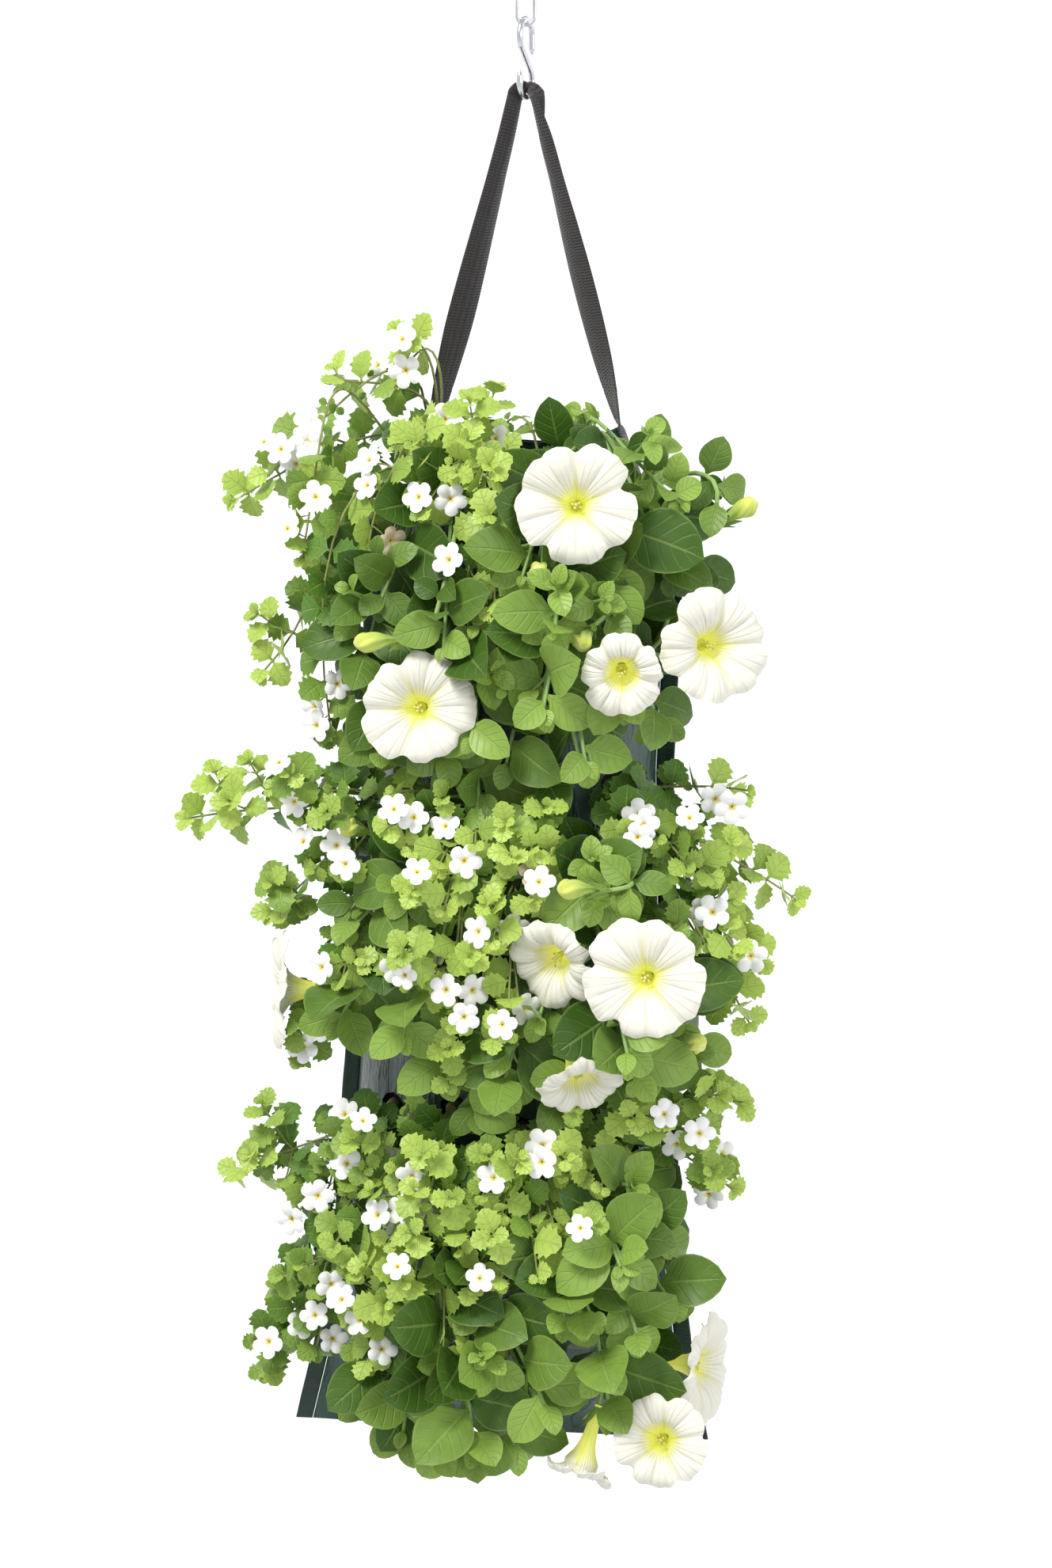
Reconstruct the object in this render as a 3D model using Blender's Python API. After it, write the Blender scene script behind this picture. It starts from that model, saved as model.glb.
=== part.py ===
"""Hanging flower pouch: a woven bag of compost on a strap, planted with white
petunias and white bacopa, hanging from the last link of a chain by an S-hook.
Metres, +Z up, the front of the bag faces -Y. The origin is where the chain link
hangs, at the inside of its top bend."""
import math
import random

import bpy
import bmesh
from mathutils import Vector
from mathutils.bvhtree import BVHTree

GAP = 0.0003                    # clearance between pieces that touch
# Chain link and S-hook
LINK_WIRE = 0.0012              # radius
LINK_INSIDE = 0.026             # inside length
LINK_BEND = 0.0051              # radius of the bends, at the middle of the wire
HOOK_WIRE = 0.0020
HOOK_BEND = 0.0095
HOOK_TALL = 0.0487
HOOK_TURN = math.radians(12)    # the hook hangs almost edge-on
HOOK_MOUTH = 0.0108             # how far its upper end comes down past the bend
HOOK_TIP = 0.0065               # how far its lower end rises past the bend
# Strap
STRAP_WIDE = 0.020
STRAP_THICK = 0.0015
STRAP_LAP = 0.030               # how far its ends lap down over the bag's corners
# Bag: stations down its height, each a height and a half size there
BAG_TOP = -0.2585               # the corners that the strap pulls up
BAG_FOOT = -0.866               # the flat bottom seam
FRONT_DIP = 0.042               # how far the rim sags between the corners
BACK_DIP = 0.011
WALL = 0.0015
BAG_HALF_WIDTH = ((-0.2585, 0.055), (-0.290, 0.068), (-0.340, 0.085), (-0.460, 0.083),
                  (-0.640, 0.091), (-0.740, 0.095), (-0.820, 0.107), (-0.866, 0.117))
BAG_HALF_DEPTH = ((-0.2585, 0.045), (-0.300, 0.060), (-0.360, 0.071), (-0.500, 0.075),
                  (-0.660, 0.077), (-0.760, 0.066), (-0.820, 0.036), (-0.846, 0.012),
                  (-0.854, 0.0016), (-0.866, 0.0016))
BAG_LEAN = -0.016               # sideways drift of the bag's middle at its foot
SEAM_WIDE = 0.0105              # side seams, bound with tape
SEAM_THICK = 0.0016
SEAM_TOP = -0.292
POCKET_FLOOR = -0.838           # the bag's inside stops here
SOIL_TOP = -0.312
SLIT = 0.0085                   # radius of a planting hole in the bag
CROWN = 0.0048                  # radius of a plant's neck
CROWN_DEEP = 0.022              # how deep a neck stands in the soil
# Plants
PETUNIA_STEM = 0.0014
BACOPA_STEM = 0.0009
BLADE = 0.0007                  # leaf thickness
PETAL = 0.0009
TUBE_LONG = 0.040               # a petunia bloom's tube, behind its face
TUBE_END = 0.0022               # its radius where it meets the stalk
LOBES = (0.62, 1.0) * 5         # a bacopa flower's notches and lobes
FLOWER = 0.0090                 # its radius
TOP_KNOT, LOW_KNOT = 0.97, 0.75     # where leaves stand along a stem
TWO_KNOTS = 0.095               # a bacopa stem longer than this has both knots
PETUNIA_LEAF = (0.036, 0.046)   # shortest and longest
BACOPA_LEAF = (0.017, 0.021)
VIEW_UP = Vector((0.1, -0.75, 0.65))   # where the light comes from, for the leaves

AROUND = 20                     # the bag's facets
LEVELS = (0.0, 0.08, 0.18, 0.36, 0.56, 0.76, 0.90, 1.0)   # its rings, rim to pocket floor


# ---------------------------------------------------------------- helpers
def clear_scene():
    for thing in list(bpy.data.objects):
        bpy.data.objects.remove(thing)


def material(name, colour, roughness, metallic=0.0):
    found = bpy.data.materials.get(name)
    if found:
        return found
    found = bpy.data.materials.new(name)
    found.use_nodes = True
    shader = found.node_tree.nodes["Principled BSDF"]
    shader.inputs["Base Color"].default_value = (*colour, 1.0)
    shader.inputs["Roughness"].default_value = roughness
    shader.inputs["Metallic"].default_value = metallic
    return found


def ease(stations, z):
    """The half size at height z, eased between stations."""
    above = stations[0]
    if z >= above[0]:
        return above[1]
    for below in stations[1:]:
        if z >= below[0]:
            part = (above[0] - z) / (above[0] - below[0])
            return above[1] + (below[1] - above[1]) * part
        above = below
    return above[1]


def add_object(name, shape, finish):
    points, faces = shape
    mesh = bpy.data.meshes.new(name)
    mesh.from_pydata([tuple(point) for point in points], [], faces)
    body = bmesh.new()
    body.from_mesh(mesh)
    bmesh.ops.recalc_face_normals(body, faces=body.faces)
    body.to_mesh(mesh)
    body.free()
    mesh.materials.append(finish)
    thing = bpy.data.objects.new(name, mesh)
    bpy.context.scene.collection.objects.link(thing)
    return thing


def smooth(thing, degrees=50):
    thing.data.shade_smooth()
    thing.data.set_sharp_from_angle(angle=math.radians(degrees))


def combine(thing, others, operation, solver="EXACT"):
    """One Boolean with a collection of cutters or joiners, applied."""
    tools = bpy.data.collections.new("tools")
    for other in others:
        bpy.context.scene.collection.objects.unlink(other)
        tools.objects.link(other)
    change = thing.modifiers.new("combine", "BOOLEAN")
    change.operation = operation
    change.operand_type = "COLLECTION"
    change.collection = tools
    change.solver = solver
    seen = bpy.context.evaluated_depsgraph_get()
    mesh = bpy.data.meshes.new_from_object(thing.evaluated_get(seen))
    thing.modifiers.clear()
    thing.data = mesh
    for other in others:
        bpy.data.objects.remove(other)
    bpy.data.collections.remove(tools)


def fill_hollows(thing):
    """Drops the inward-facing skins that fusing may seal inside a plant."""
    body = bmesh.new()
    body.from_mesh(thing.data)
    left = set(body.verts)
    while left:
        island, edge = set(), [left.pop()]
        while edge:
            vert = edge.pop()
            island.add(vert)
            edge += [e.other_vert(vert) for e in vert.link_edges if e.other_vert(vert) in left]
            left.difference_update(edge)
        faces = {face for vert in island for face in vert.link_faces}
        near = next(iter(island)).co
        volume = sum((f.calc_center_median() - near).dot(f.normal) * f.calc_area() for f in faces)
        if volume < 0:
            bmesh.ops.delete(body, geom=list(island), context="VERTS")
    body.to_mesh(thing.data)
    body.free()


# ---------------------------------------------------------------- plain shapes
def across(direction):
    """Two directions square to the given one."""
    lean = Vector((0, 0, 1)) if abs(direction.z) < 0.9 else Vector((0, 1, 0))
    side = direction.cross(lean).normalized()
    return side, side.cross(direction).normalized()


def lathe_faces(rings, sides, first=0):
    faces = []
    for ring in range(rings - 1):
        for k in range(sides):
            here = first + ring * sides
            after = (k + 1) % sides
            faces.append((here + k, here + after, here + sides + after, here + sides + k))
    return faces


def tube(points, radii, sides):
    """A closed tube along the points."""
    verts = []
    side = None
    for index, point in enumerate(points):
        ahead = points[min(index + 1, len(points) - 1)]
        behind = points[max(index - 1, 0)]
        along = (ahead - behind).normalized()
        if side is None:
            side = across(along)[0]
        side = (side - along * side.dot(along)).normalized()
        other = along.cross(side)
        for k in range(sides):
            turn = 2 * math.pi * k / sides
            verts.append(point + (side * math.cos(turn) + other * math.sin(turn)) * radii[index])
    faces = lathe_faces(len(points), sides)
    last = len(verts) - sides
    faces.append(tuple(range(sides)))
    faces.append(tuple(reversed(range(last, last + sides))))
    return verts, faces


def ring_tube(points, radius, sides):
    """A closed tube whose ends meet."""
    verts = []
    count = len(points)
    for index, point in enumerate(points):
        along = (points[(index + 1) % count] - points[index - 1]).normalized()
        side = Vector((0, 1, 0))
        other = along.cross(side)
        for k in range(sides):
            turn = 2 * math.pi * k / sides
            verts.append(point + (side * math.cos(turn) + other * math.sin(turn)) * radius)
    faces = []
    for index in range(count):
        here, after = index * sides, (index + 1) % count * sides
        for k in range(sides):
            nxt = (k + 1) % sides
            faces.append((here + k, here + nxt, after + nxt, after + k))
    return verts, faces


def bezier(a, b, c, d, t):
    s = 1 - t
    return a * s ** 3 + b * 3 * s * s * t + c * 3 * s * t * t + d * t ** 3


# ---------------------------------------------------------------- hook and link
def chain_link():
    points = []
    for k in range(8):
        turn = math.pi * k / 7
        points.append(Vector((LINK_BEND * math.cos(turn), 0,
                              LINK_WIRE - LINK_BEND + LINK_BEND * math.sin(turn))))
    for k in range(8):
        turn = math.pi + math.pi * k / 7
        points.append(Vector((LINK_BEND * math.cos(turn), 0,
                              LINK_BEND - LINK_WIRE - LINK_INSIDE + LINK_BEND * math.sin(turn))))
    return ring_tube(points, LINK_WIRE, 6)


HOOK_TOP = -LINK_INSIDE + GAP + 2 * HOOK_WIRE
UPPER = HOOK_TOP - HOOK_WIRE - HOOK_BEND            # height of the upper bend's middle
LOWER = HOOK_TOP - HOOK_TALL + HOOK_WIRE + HOOK_BEND
HOOK_WAY = Vector((math.sin(HOOK_TURN), math.cos(HOOK_TURN), 0))


def s_hook():
    def at(out, height):
        return HOOK_WAY * out + Vector((0, 0, height))
    lean = math.acos(2 * HOOK_BEND / (UPPER - LOWER))
    points = [at(HOOK_BEND, UPPER - HOOK_MOUTH), at(HOOK_BEND, UPPER - HOOK_MOUTH / 2)]
    for k in range(11):
        turn = (math.pi * 1.5 - lean) * k / 10
        points.append(at(HOOK_BEND * math.cos(turn), UPPER + HOOK_BEND * math.sin(turn)))
    for k in range(11):
        turn = math.pi / 2 - lean - (math.pi * 1.5 - lean) * k / 10
        points.append(at(HOOK_BEND * math.cos(turn), LOWER + HOOK_BEND * math.sin(turn)))
    points.append(at(-HOOK_BEND, LOWER + HOOK_TIP))
    return tube(points, [HOOK_WIRE] * len(points), 8)


# ---------------------------------------------------------------- strap
def strap_stations():
    """Middle line of the strap as (point, outward, turn of its width, curl)."""
    bend = HOOK_WIRE + 0.0005 + STRAP_THICK / 2
    apex = Vector((0, 0, HOOK_TOP - HOOK_TALL + HOOK_WIRE))
    stations = []
    for side in (-1, 1):
        leg = []
        out = ease(BAG_HALF_WIDTH, BAG_TOP) + STRAP_THICK / 2 + GAP
        corner = Vector((side * out, 0, BAG_TOP))
        start = apex + Vector((side * bend, 0, -0.004))
        down = (corner - start).normalized()
        outward = Vector((down.z * -side, 0, down.x * side)).normalized()
        turns = (20, 26, 34, 42, 44, 30, 12) if side < 0 else (20, 26, 32, 34, 28, 18, 8)
        curls = (60, 42, 34, 26, 16, 4, -8)
        for k in range(7):
            part = 0.10 + 0.87 * k / 6
            leg.append((start + (corner - start) * part, outward, turns[k] * -side, curls[k]))
        for k in range(4):
            z = BAG_TOP - STRAP_LAP * k / 3
            wide = bag_edge(side, z) + side * (STRAP_THICK / 2 + 3 * GAP)
            leg.append((Vector((wide, 0, z)), Vector((side, 0, 0.4)).normalized(), 0, -8))
        stations.append(leg)
    bow = []
    for k in range(-3, 4):
        turn = math.radians(27) * k
        bow.append((apex + Vector((bend * math.sin(turn), 0, bend * math.cos(turn))),
                    Vector((math.sin(turn), 0, math.cos(turn))),
                    12, 89 - 7 * abs(k)))
    return list(reversed(stations[0])), bow, stations[1]


def strap():
    left, bow, right = strap_stations()
    rows = []
    line = [(p, n, turn, curl) for p, n, turn, curl in left]
    line += bow
    line += right
    for index, (point, outward, turn, curl) in enumerate(line):
        wide = Vector((math.sin(math.radians(turn)), math.cos(math.radians(turn)), 0))
        normal = (outward - wide * outward.dot(wide)).normalized()
        half = STRAP_WIDE / 2
        bend = math.radians(curl if abs(curl) > 1 else 1)
        radius = half / bend
        outer, inner = [], []
        for v in (-1.0, -0.4, 0.4, 1.0):
            angle = bend * v
            spot = point + wide * radius * math.sin(angle) + normal * radius * (1 - math.cos(angle))
            facing = normal * math.cos(angle) - wide * math.sin(angle)
            outer.append(spot + facing * STRAP_THICK / 2)
            inner.append(spot - facing * STRAP_THICK / 2)
        rows.append(outer + list(reversed(inner)))
    verts = [point for row in rows for point in row]
    faces = lathe_faces(len(rows), 8)
    last = len(verts) - 8
    for a in range(3):
        faces.append((a, a + 1, 6 - a, 7 - a))
        faces.append((last + a, last + a + 1, last + 6 - a, last + 7 - a))
    return verts, faces


# ---------------------------------------------------------------- bag and soil
def bag_middle(z):
    return BAG_LEAN * min(1.0, max(0.0, (BAG_TOP - z) / (BAG_TOP - BAG_FOOT)))


def rim_height(turn):
    dip = FRONT_DIP if math.sin(turn) > 0 else BACK_DIP
    return BAG_TOP - dip * math.sin(turn) ** 2


def bag_point(turn, z, inset):
    """A point of the bag's skin: turn 0 is the right side, a quarter is the front."""
    wide = max(ease(BAG_HALF_WIDTH, z) - inset, 0.0005)
    deep = max(ease(BAG_HALF_DEPTH, z) - inset, 0.0005)
    swell = math.sin(turn)
    return Vector((bag_middle(z) + wide * math.cos(turn),
                   -deep * math.copysign(abs(swell) ** 1.15, swell), z))


def bag_ring(inset, level):
    """One ring of the bag, from the rim at level 0 to the pocket's floor at level 1."""
    ring = []
    for k in range(AROUND):
        turn = 2 * math.pi * k / AROUND
        start = rim_height(turn)
        ring.append(bag_point(turn, start + (POCKET_FLOOR - start) * level, inset))
    return ring


def level_ring(inset, z):
    return [bag_point(2 * math.pi * k / AROUND, z, inset) for k in range(AROUND)]


def wall_point(k, z, inset):
    """A point at height z on the faceted wall, straight between the bag's rings."""
    turn = 2 * math.pi * k / AROUND
    start = rim_height(turn)
    heights = [start + (POCKET_FLOOR - start) * level for level in LEVELS]
    heights += [(POCKET_FLOOR + BAG_FOOT) / 2, BAG_FOOT]
    for above, below in zip(heights, heights[1:]):
        if z >= below - 1e-7:
            upper, lower = bag_point(turn, above, inset), bag_point(turn, below, inset)
            return upper + (lower - upper) * ((above - z) / (above - below))
    return bag_point(turn, z, inset)


def bag():
    outer, inner = [], []
    for level in LEVELS:
        outer += bag_ring(0.0, level)
        inner += bag_ring(WALL, level)
    outer += level_ring(0.0, (POCKET_FLOOR + BAG_FOOT) / 2) + level_ring(0.0, BAG_FOOT)
    rings = len(LEVELS)
    faces = lathe_faces(rings + 2, AROUND) + lathe_faces(rings, AROUND, len(outer))
    for k in range(AROUND):
        after = (k + 1) % AROUND
        faces.append((k, len(outer) + k, len(outer) + after, after))
    last = len(outer) - AROUND
    deep = len(outer) + len(inner) - AROUND
    faces.append(tuple(range(last, last + AROUND)))
    faces.append(tuple(range(deep, deep + AROUND)))
    return outer + inner, faces


def soil():
    inset = WALL + 0.0014
    verts = [wall_point(k, SOIL_TOP, inset) for k in range(AROUND)]
    for level in LEVELS[2:-1]:
        verts += bag_ring(inset, level)
    verts += level_ring(inset, POCKET_FLOOR + GAP)
    rings = len(verts) // AROUND
    faces = lathe_faces(rings, AROUND)
    faces.append(tuple(range(AROUND)))
    faces.append(tuple(range(len(verts) - AROUND, len(verts))))
    return verts, faces


def bag_edge(side, z):
    """How far out the bag's side edge lies at height z."""
    return wall_point(0 if side > 0 else AROUND // 2, z, 0.0).x


def side_seam(side):
    """A flat bound seam standing out along one side of the bag."""
    heights = [SEAM_TOP] + [BAG_TOP + (POCKET_FLOOR - BAG_TOP) * level for level in LEVELS[1:]]
    heights += [(POCKET_FLOOR + BAG_FOOT) / 2, BAG_FOOT]
    verts = []
    for z in heights:
        near = bag_edge(side, z) + side * GAP * 2
        far = near + side * SEAM_WIDE
        for x, y in ((near, -1), (far, -1), (far, 1), (near, 1)):
            verts.append(Vector((x, y * SEAM_THICK / 2, z)))
    faces = lathe_faces(len(heights), 4)
    faces.append((0, 1, 2, 3))
    last = len(verts) - 4
    faces.append((last, last + 1, last + 2, last + 3))
    return verts, faces


# ---------------------------------------------------------------- leaves and flowers
PETUNIA_BLADE = ((0.0, 0.0), (0.30, 0.40), (0.58, 0.50), (0.84, 0.30), (1.0, 0.0))
BACOPA_BLADE = ((0.0, 0.0), (0.42, 0.44), (0.76, 0.40), (1.0, 0.0))


def leaf_rows(root, heading, face, length, width, blade, droop, fold):
    """Rows across a blade that is folded along its rib and curls down to its tip."""
    side = heading.cross(face).normalized()
    face = side.cross(heading).normalized()
    centre = root.copy()
    rows = []
    before = 0.0
    for at, half in blade:
        bend = droop * (at + before) / 2
        centre = centre + (heading * math.cos(bend) - face * math.sin(bend)) * length * (at - before)
        up = face * math.cos(bend) + heading * math.sin(bend)
        out, lift = side * half * width, up * fold * half * width
        rows.append(([centre - out + lift, centre.copy(), centre + out + lift], up))
        before = at
    return rows[1:-1], rows[-1][0][1], side


def add_blade(verts, faces, base, shape, thick):
    """A closed blade of two skins, joined to the base loop of four points."""
    rows, tip, side = leaf_rows(*shape)
    layers = []
    for sign in (1, -1):
        layer = []
        for points, up in rows:
            layer.append(list(range(len(verts), len(verts) + 3)))
            verts += [point + up * sign * thick / 2 for point in points]
        layers.append(layer)
    end = len(verts)
    verts.append(tip)
    for layer in layers:
        for here, after in zip(layer, layer[1:]):
            faces += [(here[0], after[0], here[1]), (after[0], after[1], here[1])]
            faces += [(here[1], after[1], here[2]), (after[1], after[2], here[2])]
        last = layer[-1]
        faces += [(end, last[1], last[0]), (end, last[2], last[1])]
    for edge in (0, 2):
        upper = [layer[edge] for layer in layers[0]]
        lower = [layer[edge] for layer in layers[1]]
        for a, b, c, d in zip(upper, upper[1:], lower[1:], lower):
            faces += [(a, b, c), (a, c, d)]
        faces.append((upper[-1], end, lower[-1]))
    up = rows[0][1]
    centre = sum((verts[k] for k in base), Vector()) / 4
    goals = (up - side, up + side, -up + side, -up - side)
    turns = [base[k:] + base[:k] for k in range(4)]

    def fit(loop):
        return sum((verts[k] - centre).dot(goal) for k, goal in zip(loop, goals))
    a, b, c, d = max(turns, key=fit)
    (lt, mt, rt), (lb, mb, rb) = layers[0][0], layers[1][0]
    faces += [(a, lt, mt), (a, mt, b), (b, mt, rt), (b, rt, rb), (b, rb, c)]
    faces += [(c, rb, mb), (c, mb, d), (d, mb, lb), (d, lb, a), (a, lb, lt)]


def lone_leaf(shape, thick):
    """A leaf without its stem, for finding room."""
    root, heading, face = shape[:3]
    side = heading.cross(face).normalized() * 0.0007
    lift = side.cross(heading).normalized() * 0.0007
    verts = [root + lift - side, root + lift + side, root - lift + side, root - lift - side]
    faces = [(0, 1, 2, 3)]
    add_blade(verts, faces, [0, 1, 2, 3], shape, thick)
    return verts, faces


def bloom(middle, facing, radius, spin, wave, dice):
    """A petunia flower: a narrow tube opening into five joined, notched lobes."""
    side, up = across(facing)
    rim = []
    for k in range(15):
        rim.append((0.84 if k % 3 == 0 else 1.0, dice.uniform(-wave, wave)))
    verts = []

    def ring(out, height, full):
        for k in range(15):
            turn = 2 * math.pi * k / 15 + spin
            size, lift = rim[k] if full else (1.0, 0.0)
            verts.append(middle + facing * (height + lift)
                         + (side * math.cos(turn) + up * math.sin(turn)) * out * size)
    for out, height, full in ((TUBE_END, -TUBE_LONG, False), (0.0095, -0.009, False),
                              (radius, -0.003, True)):
        ring(out, height, full)
    for out, height, full in ((radius, -0.003, True), (radius * 0.60, 0.001, False),
                              (0.0086, -0.007, False)):
        ring(out, height + PETAL, full)
    faces = lathe_faces(6, 15)
    faces.append(tuple(range(15)))
    faces.append(tuple(range(len(verts) - 15, len(verts))))
    return verts, faces


def bud(root, heading, long):
    """A furled petunia bud: a five-ribbed twisted spindle."""
    side, up = across(heading)
    verts = []
    stations = ((0.0, 0.0016, 0), (0.35, 0.0024, 0), (0.66, 0.0052, 30), (0.86, 0.0050, 70),
                (1.0, 0.0012, 100))
    for at, size, twist in stations:
        for k in range(6):
            turn = 2 * math.pi * k / 6 + math.radians(twist)
            verts.append(root + heading * long * at + (side * math.cos(turn) + up * math.sin(turn)) * size)
    faces = lathe_faces(len(stations), 6)
    faces.append(tuple(range(6)))
    faces.append(tuple(range(len(verts) - 6, len(verts))))
    return verts, faces


def loop_about(centre, axis, start, radii):
    """Points round an axis, counter-clockwise, beginning on the start's side."""
    first = (start - axis * start.dot(axis)).normalized()
    second = axis.cross(first)
    count = len(radii)
    points = []
    for k, radius in enumerate(radii):
        turn = 2 * math.pi * k / count
        points.append(centre + (first * math.cos(turn) + second * math.sin(turn)) * radius)
    return points


def add_flower(verts, faces, base, middle, facing, radius):
    """A bacopa flower: a stalk out of the base loop of four points, and a flat lobed disc."""
    start = verts[base[0]] - sum((verts[k] for k in base), Vector()) / 4
    back, front = middle - facing * PETAL / 2, middle + facing * PETAL / 2
    first = len(verts)
    verts += loop_about(back, facing, start, [0.0011] * 4)
    verts += loop_about(back, facing, start, [radius * size for size in LOBES])
    verts += loop_about(front, facing, start, [radius * size for size in LOBES])
    for k in range(4):
        after = (k + 1) % 4
        faces.append((base[k], base[after], first + after, first + k))
    ring, face_ring = first + 4, first + 14
    for k in range(4):
        after = (k + 1) % 4
        span = [ring + n % 10 for n in range((10 * k + 2) // 4, (10 * (k + 1) + 2) // 4 + 1)]
        faces += [(first + k, a, b) for a, b in zip(span, span[1:])]
        faces.append((first + k, span[-1], first + after))
    for k in range(10):
        after = (k + 1) % 10
        faces += [(ring + k, ring + after, face_ring + after), (ring + k, face_ring + after, face_ring + k)]
    faces.append(tuple(range(face_ring, face_ring + 10)))


def lone_flower(root, middle, facing, radius):
    side, up = across((middle - root).normalized())
    verts = [root + v * 0.0009 for v in (side, up, -side, -up)]
    faces = [(0, 1, 2, 3)]
    add_flower(verts, faces, [3, 2, 1, 0], middle, facing, radius)
    return verts, faces


class Stem:
    """A four-sided stem. Leaves and flower stalks grow out of its side faces."""

    def __init__(self, plant, owner, points, size, spin):
        self.plant, self.owner, self.points, self.size = plant, owner, points, size
        self.twigs = []
        first = (points[1] - points[0]).normalized()
        side, up = across(first)
        side = side * math.cos(spin) + up * math.sin(spin)
        self.sides = []
        for index in range(len(points)):
            along = self.tangent(index)
            side = (side - along * side.dot(along)).normalized()
            self.sides.append(side)

    def tangent(self, index):
        last = len(self.points) - 1
        return (self.points[min(index + 1, last)] - self.points[max(index - 1, 0)]).normalized()

    def long(self):
        return sum((b - a).length for a, b in zip(self.points, self.points[1:]))

    def at(self, part):
        """Place, direction and two square directions at a fraction of the stem."""
        spot = part * (len(self.points) - 1)
        index = min(int(spot), len(self.points) - 2)
        step = self.points[index + 1] - self.points[index]
        on_ring = abs(spot - round(spot)) < 1e-6
        along = self.tangent(round(spot)) if on_ring else step.normalized()
        side = self.sides[round(spot) if on_ring else index]
        side = (side - along * side.dot(along)).normalized()
        return self.points[index] + step * (spot - index), along, side, along.cross(side)

    def way_out(self, part, face):
        root, along, side, other = self.at(part)
        turn = face * math.pi / 2
        return root, along, side * math.cos(turn) + other * math.sin(turn)

    def body(self):
        knot = 0.0008 / self.long()
        parts = {k / (len(self.points) - 1) for k in range(len(self.points))}
        knots = {twig[0] for twig in self.twigs}
        if max(knots, default=0) > TOP_KNOT - 0.01:
            parts.remove(1.0)           # the stem ends at its top pair of leaves
        parts = {p for p in parts if all(abs(p - q) > 2.5 * knot for q in knots) or p in (0.0, 1.0)}
        for part in knots:
            parts |= {part - knot, part + knot}
        parts = sorted(parts)
        verts, faces = [], []
        for part in parts:
            root, along, side, other = self.at(part)
            size = self.size * (1.2 - 0.4 * part)
            for k in range(4):
                turn = (k + 0.5) * math.pi / 2
                verts.append(root + (side * math.cos(turn) + other * math.sin(turn)) * size)
        faces.append((0, 1, 2, 3))
        last = len(verts) - 4
        faces.append((last, last + 1, last + 2, last + 3))
        grown = []
        for row, (low, high) in enumerate(zip(parts, parts[1:])):
            middle = (low + high) / 2
            for face in range(4):
                a, b = 4 * row + (face - 1) % 4, 4 * row + face
                quad = [a, b, b + 4, a + 4]
                found = [twig for twig in self.twigs
                         if abs(twig[0] - middle) < knot / 2 and twig[1] == face]
                if found:
                    grown.append((quad, found[0]))
                else:
                    faces.append(tuple(quad))
        for quad, (part, face, add, shape) in grown:
            add(verts, faces, quad, *shape)
        return verts, faces


# ---------------------------------------------------------------- growing
placed = []                     # what stands already: owner, family, box, tree
plants = {}                     # plant name -> its shapes


def box_of(verts):
    xs, ys, zs = zip(*verts)
    return Vector((min(xs), min(ys), min(zs))), Vector((max(xs), max(ys), max(zs)))


def remember(shape, owner, family):
    low, high = box_of(shape[0])
    placed.append((owner, family, low, high, BVHTree.FromPolygons(shape[0], shape[1])))


def is_free(shape, owners, family=None):
    """True if the shape crosses nothing that stands, apart from its own stem or stems."""
    low, high = box_of(shape[0])
    tree = None
    for owner, kin, other_low, other_high, other in placed:
        if owner in owners or (family is not None and kin == family):
            continue
        if any(low[i] > other_high[i] or high[i] < other_low[i] for i in range(3)):
            continue
        if tree is None:
            tree = BVHTree.FromPolygons(shape[0], shape[1])
        if tree.overlap(other):
            return False
    return True


def push_out(point, margin):
    """Moves a point in front of the bag's skin."""
    if point.z > SOIL_TOP + 0.018 or point.z < BAG_FOOT - margin:
        return point
    wide = ease(BAG_HALF_WIDTH, point.z) + SEAM_WIDE + margin
    deep = ease(BAG_HALF_DEPTH, point.z) + margin
    x = (point.x - bag_middle(point.z)) / wide
    if abs(x) >= 1:
        return point
    surface = deep * (1 - x * x) ** 0.5
    if point.y <= 0 and -point.y < surface:
        return Vector((point.x, -surface, point.z))
    if 0 < point.y < surface:
        return Vector((point.x, surface, point.z))
    return point


def stem_line(name, tip, arrive, wobble, rise, dice, steps):
    """A smooth line from a plant's neck to a tip, kept off the bag's skin."""
    foot, end, way = neck_line(name)
    aside = tip - end - way * way.dot(tip - end)
    start = end - way * 0.003 + aside.normalized() * CROWN * 0.55
    far = (tip - start).length
    way = (way + (tip - start).normalized() * 0.8).normalized()
    if arrive is None:
        arrive = (tip - start).normalized() - Vector((0, 0, 0.012 / far))
    lift = Vector((0, 0, rise))
    first = start + way * far * 0.40 + lift + Vector([dice.uniform(-wobble, wobble) for _ in range(3)])
    second = tip - arrive * far * 0.35 + lift + Vector([dice.uniform(-wobble, wobble) for _ in range(3)])
    points = [bezier(start, first, second, tip, k / steps) for k in range(steps + 1)]
    return points[:1] + [push_out(point, 0.006) for point in points[1:-1]] + points[-1:]


def grow_stem(plant, owner, tip, arrive, size, steps, cup=None):
    """Tries ever wider variations of a stem until one is clear of its neighbours."""
    dice = random.Random(owner)
    top = NECKS[plant][0] == "top"
    for attempt in range(160):
        loose = 0.0006 * attempt
        goal = tip
        if cup is None:
            goal = tip + Vector([dice.uniform(-loose, loose) / 2 for _ in range(3)])
        rise = 0.022 + loose / 2 if top else 0.0
        points = stem_line(plant, goal, arrive, loose, rise, dice, steps)
        radii = [size * (1.2 - 0.4 * k / steps) for k in range(steps + 1)]
        if cup is not None:
            points.insert(-1, goal - arrive * 0.004)
            radii.append(cup)
        guard = tube(points, [radius + 0.0003 for radius in radii], 4)
        if is_free(guard, (plant,), plant if attempt > 80 else None):
            remember(guard, owner, plant)
            if cup is not None:
                plants[plant].append(tube(points, radii, 3))
                return None
            return Stem(plant, owner, points, size, dice.uniform(0, math.pi))
    return None


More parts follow.
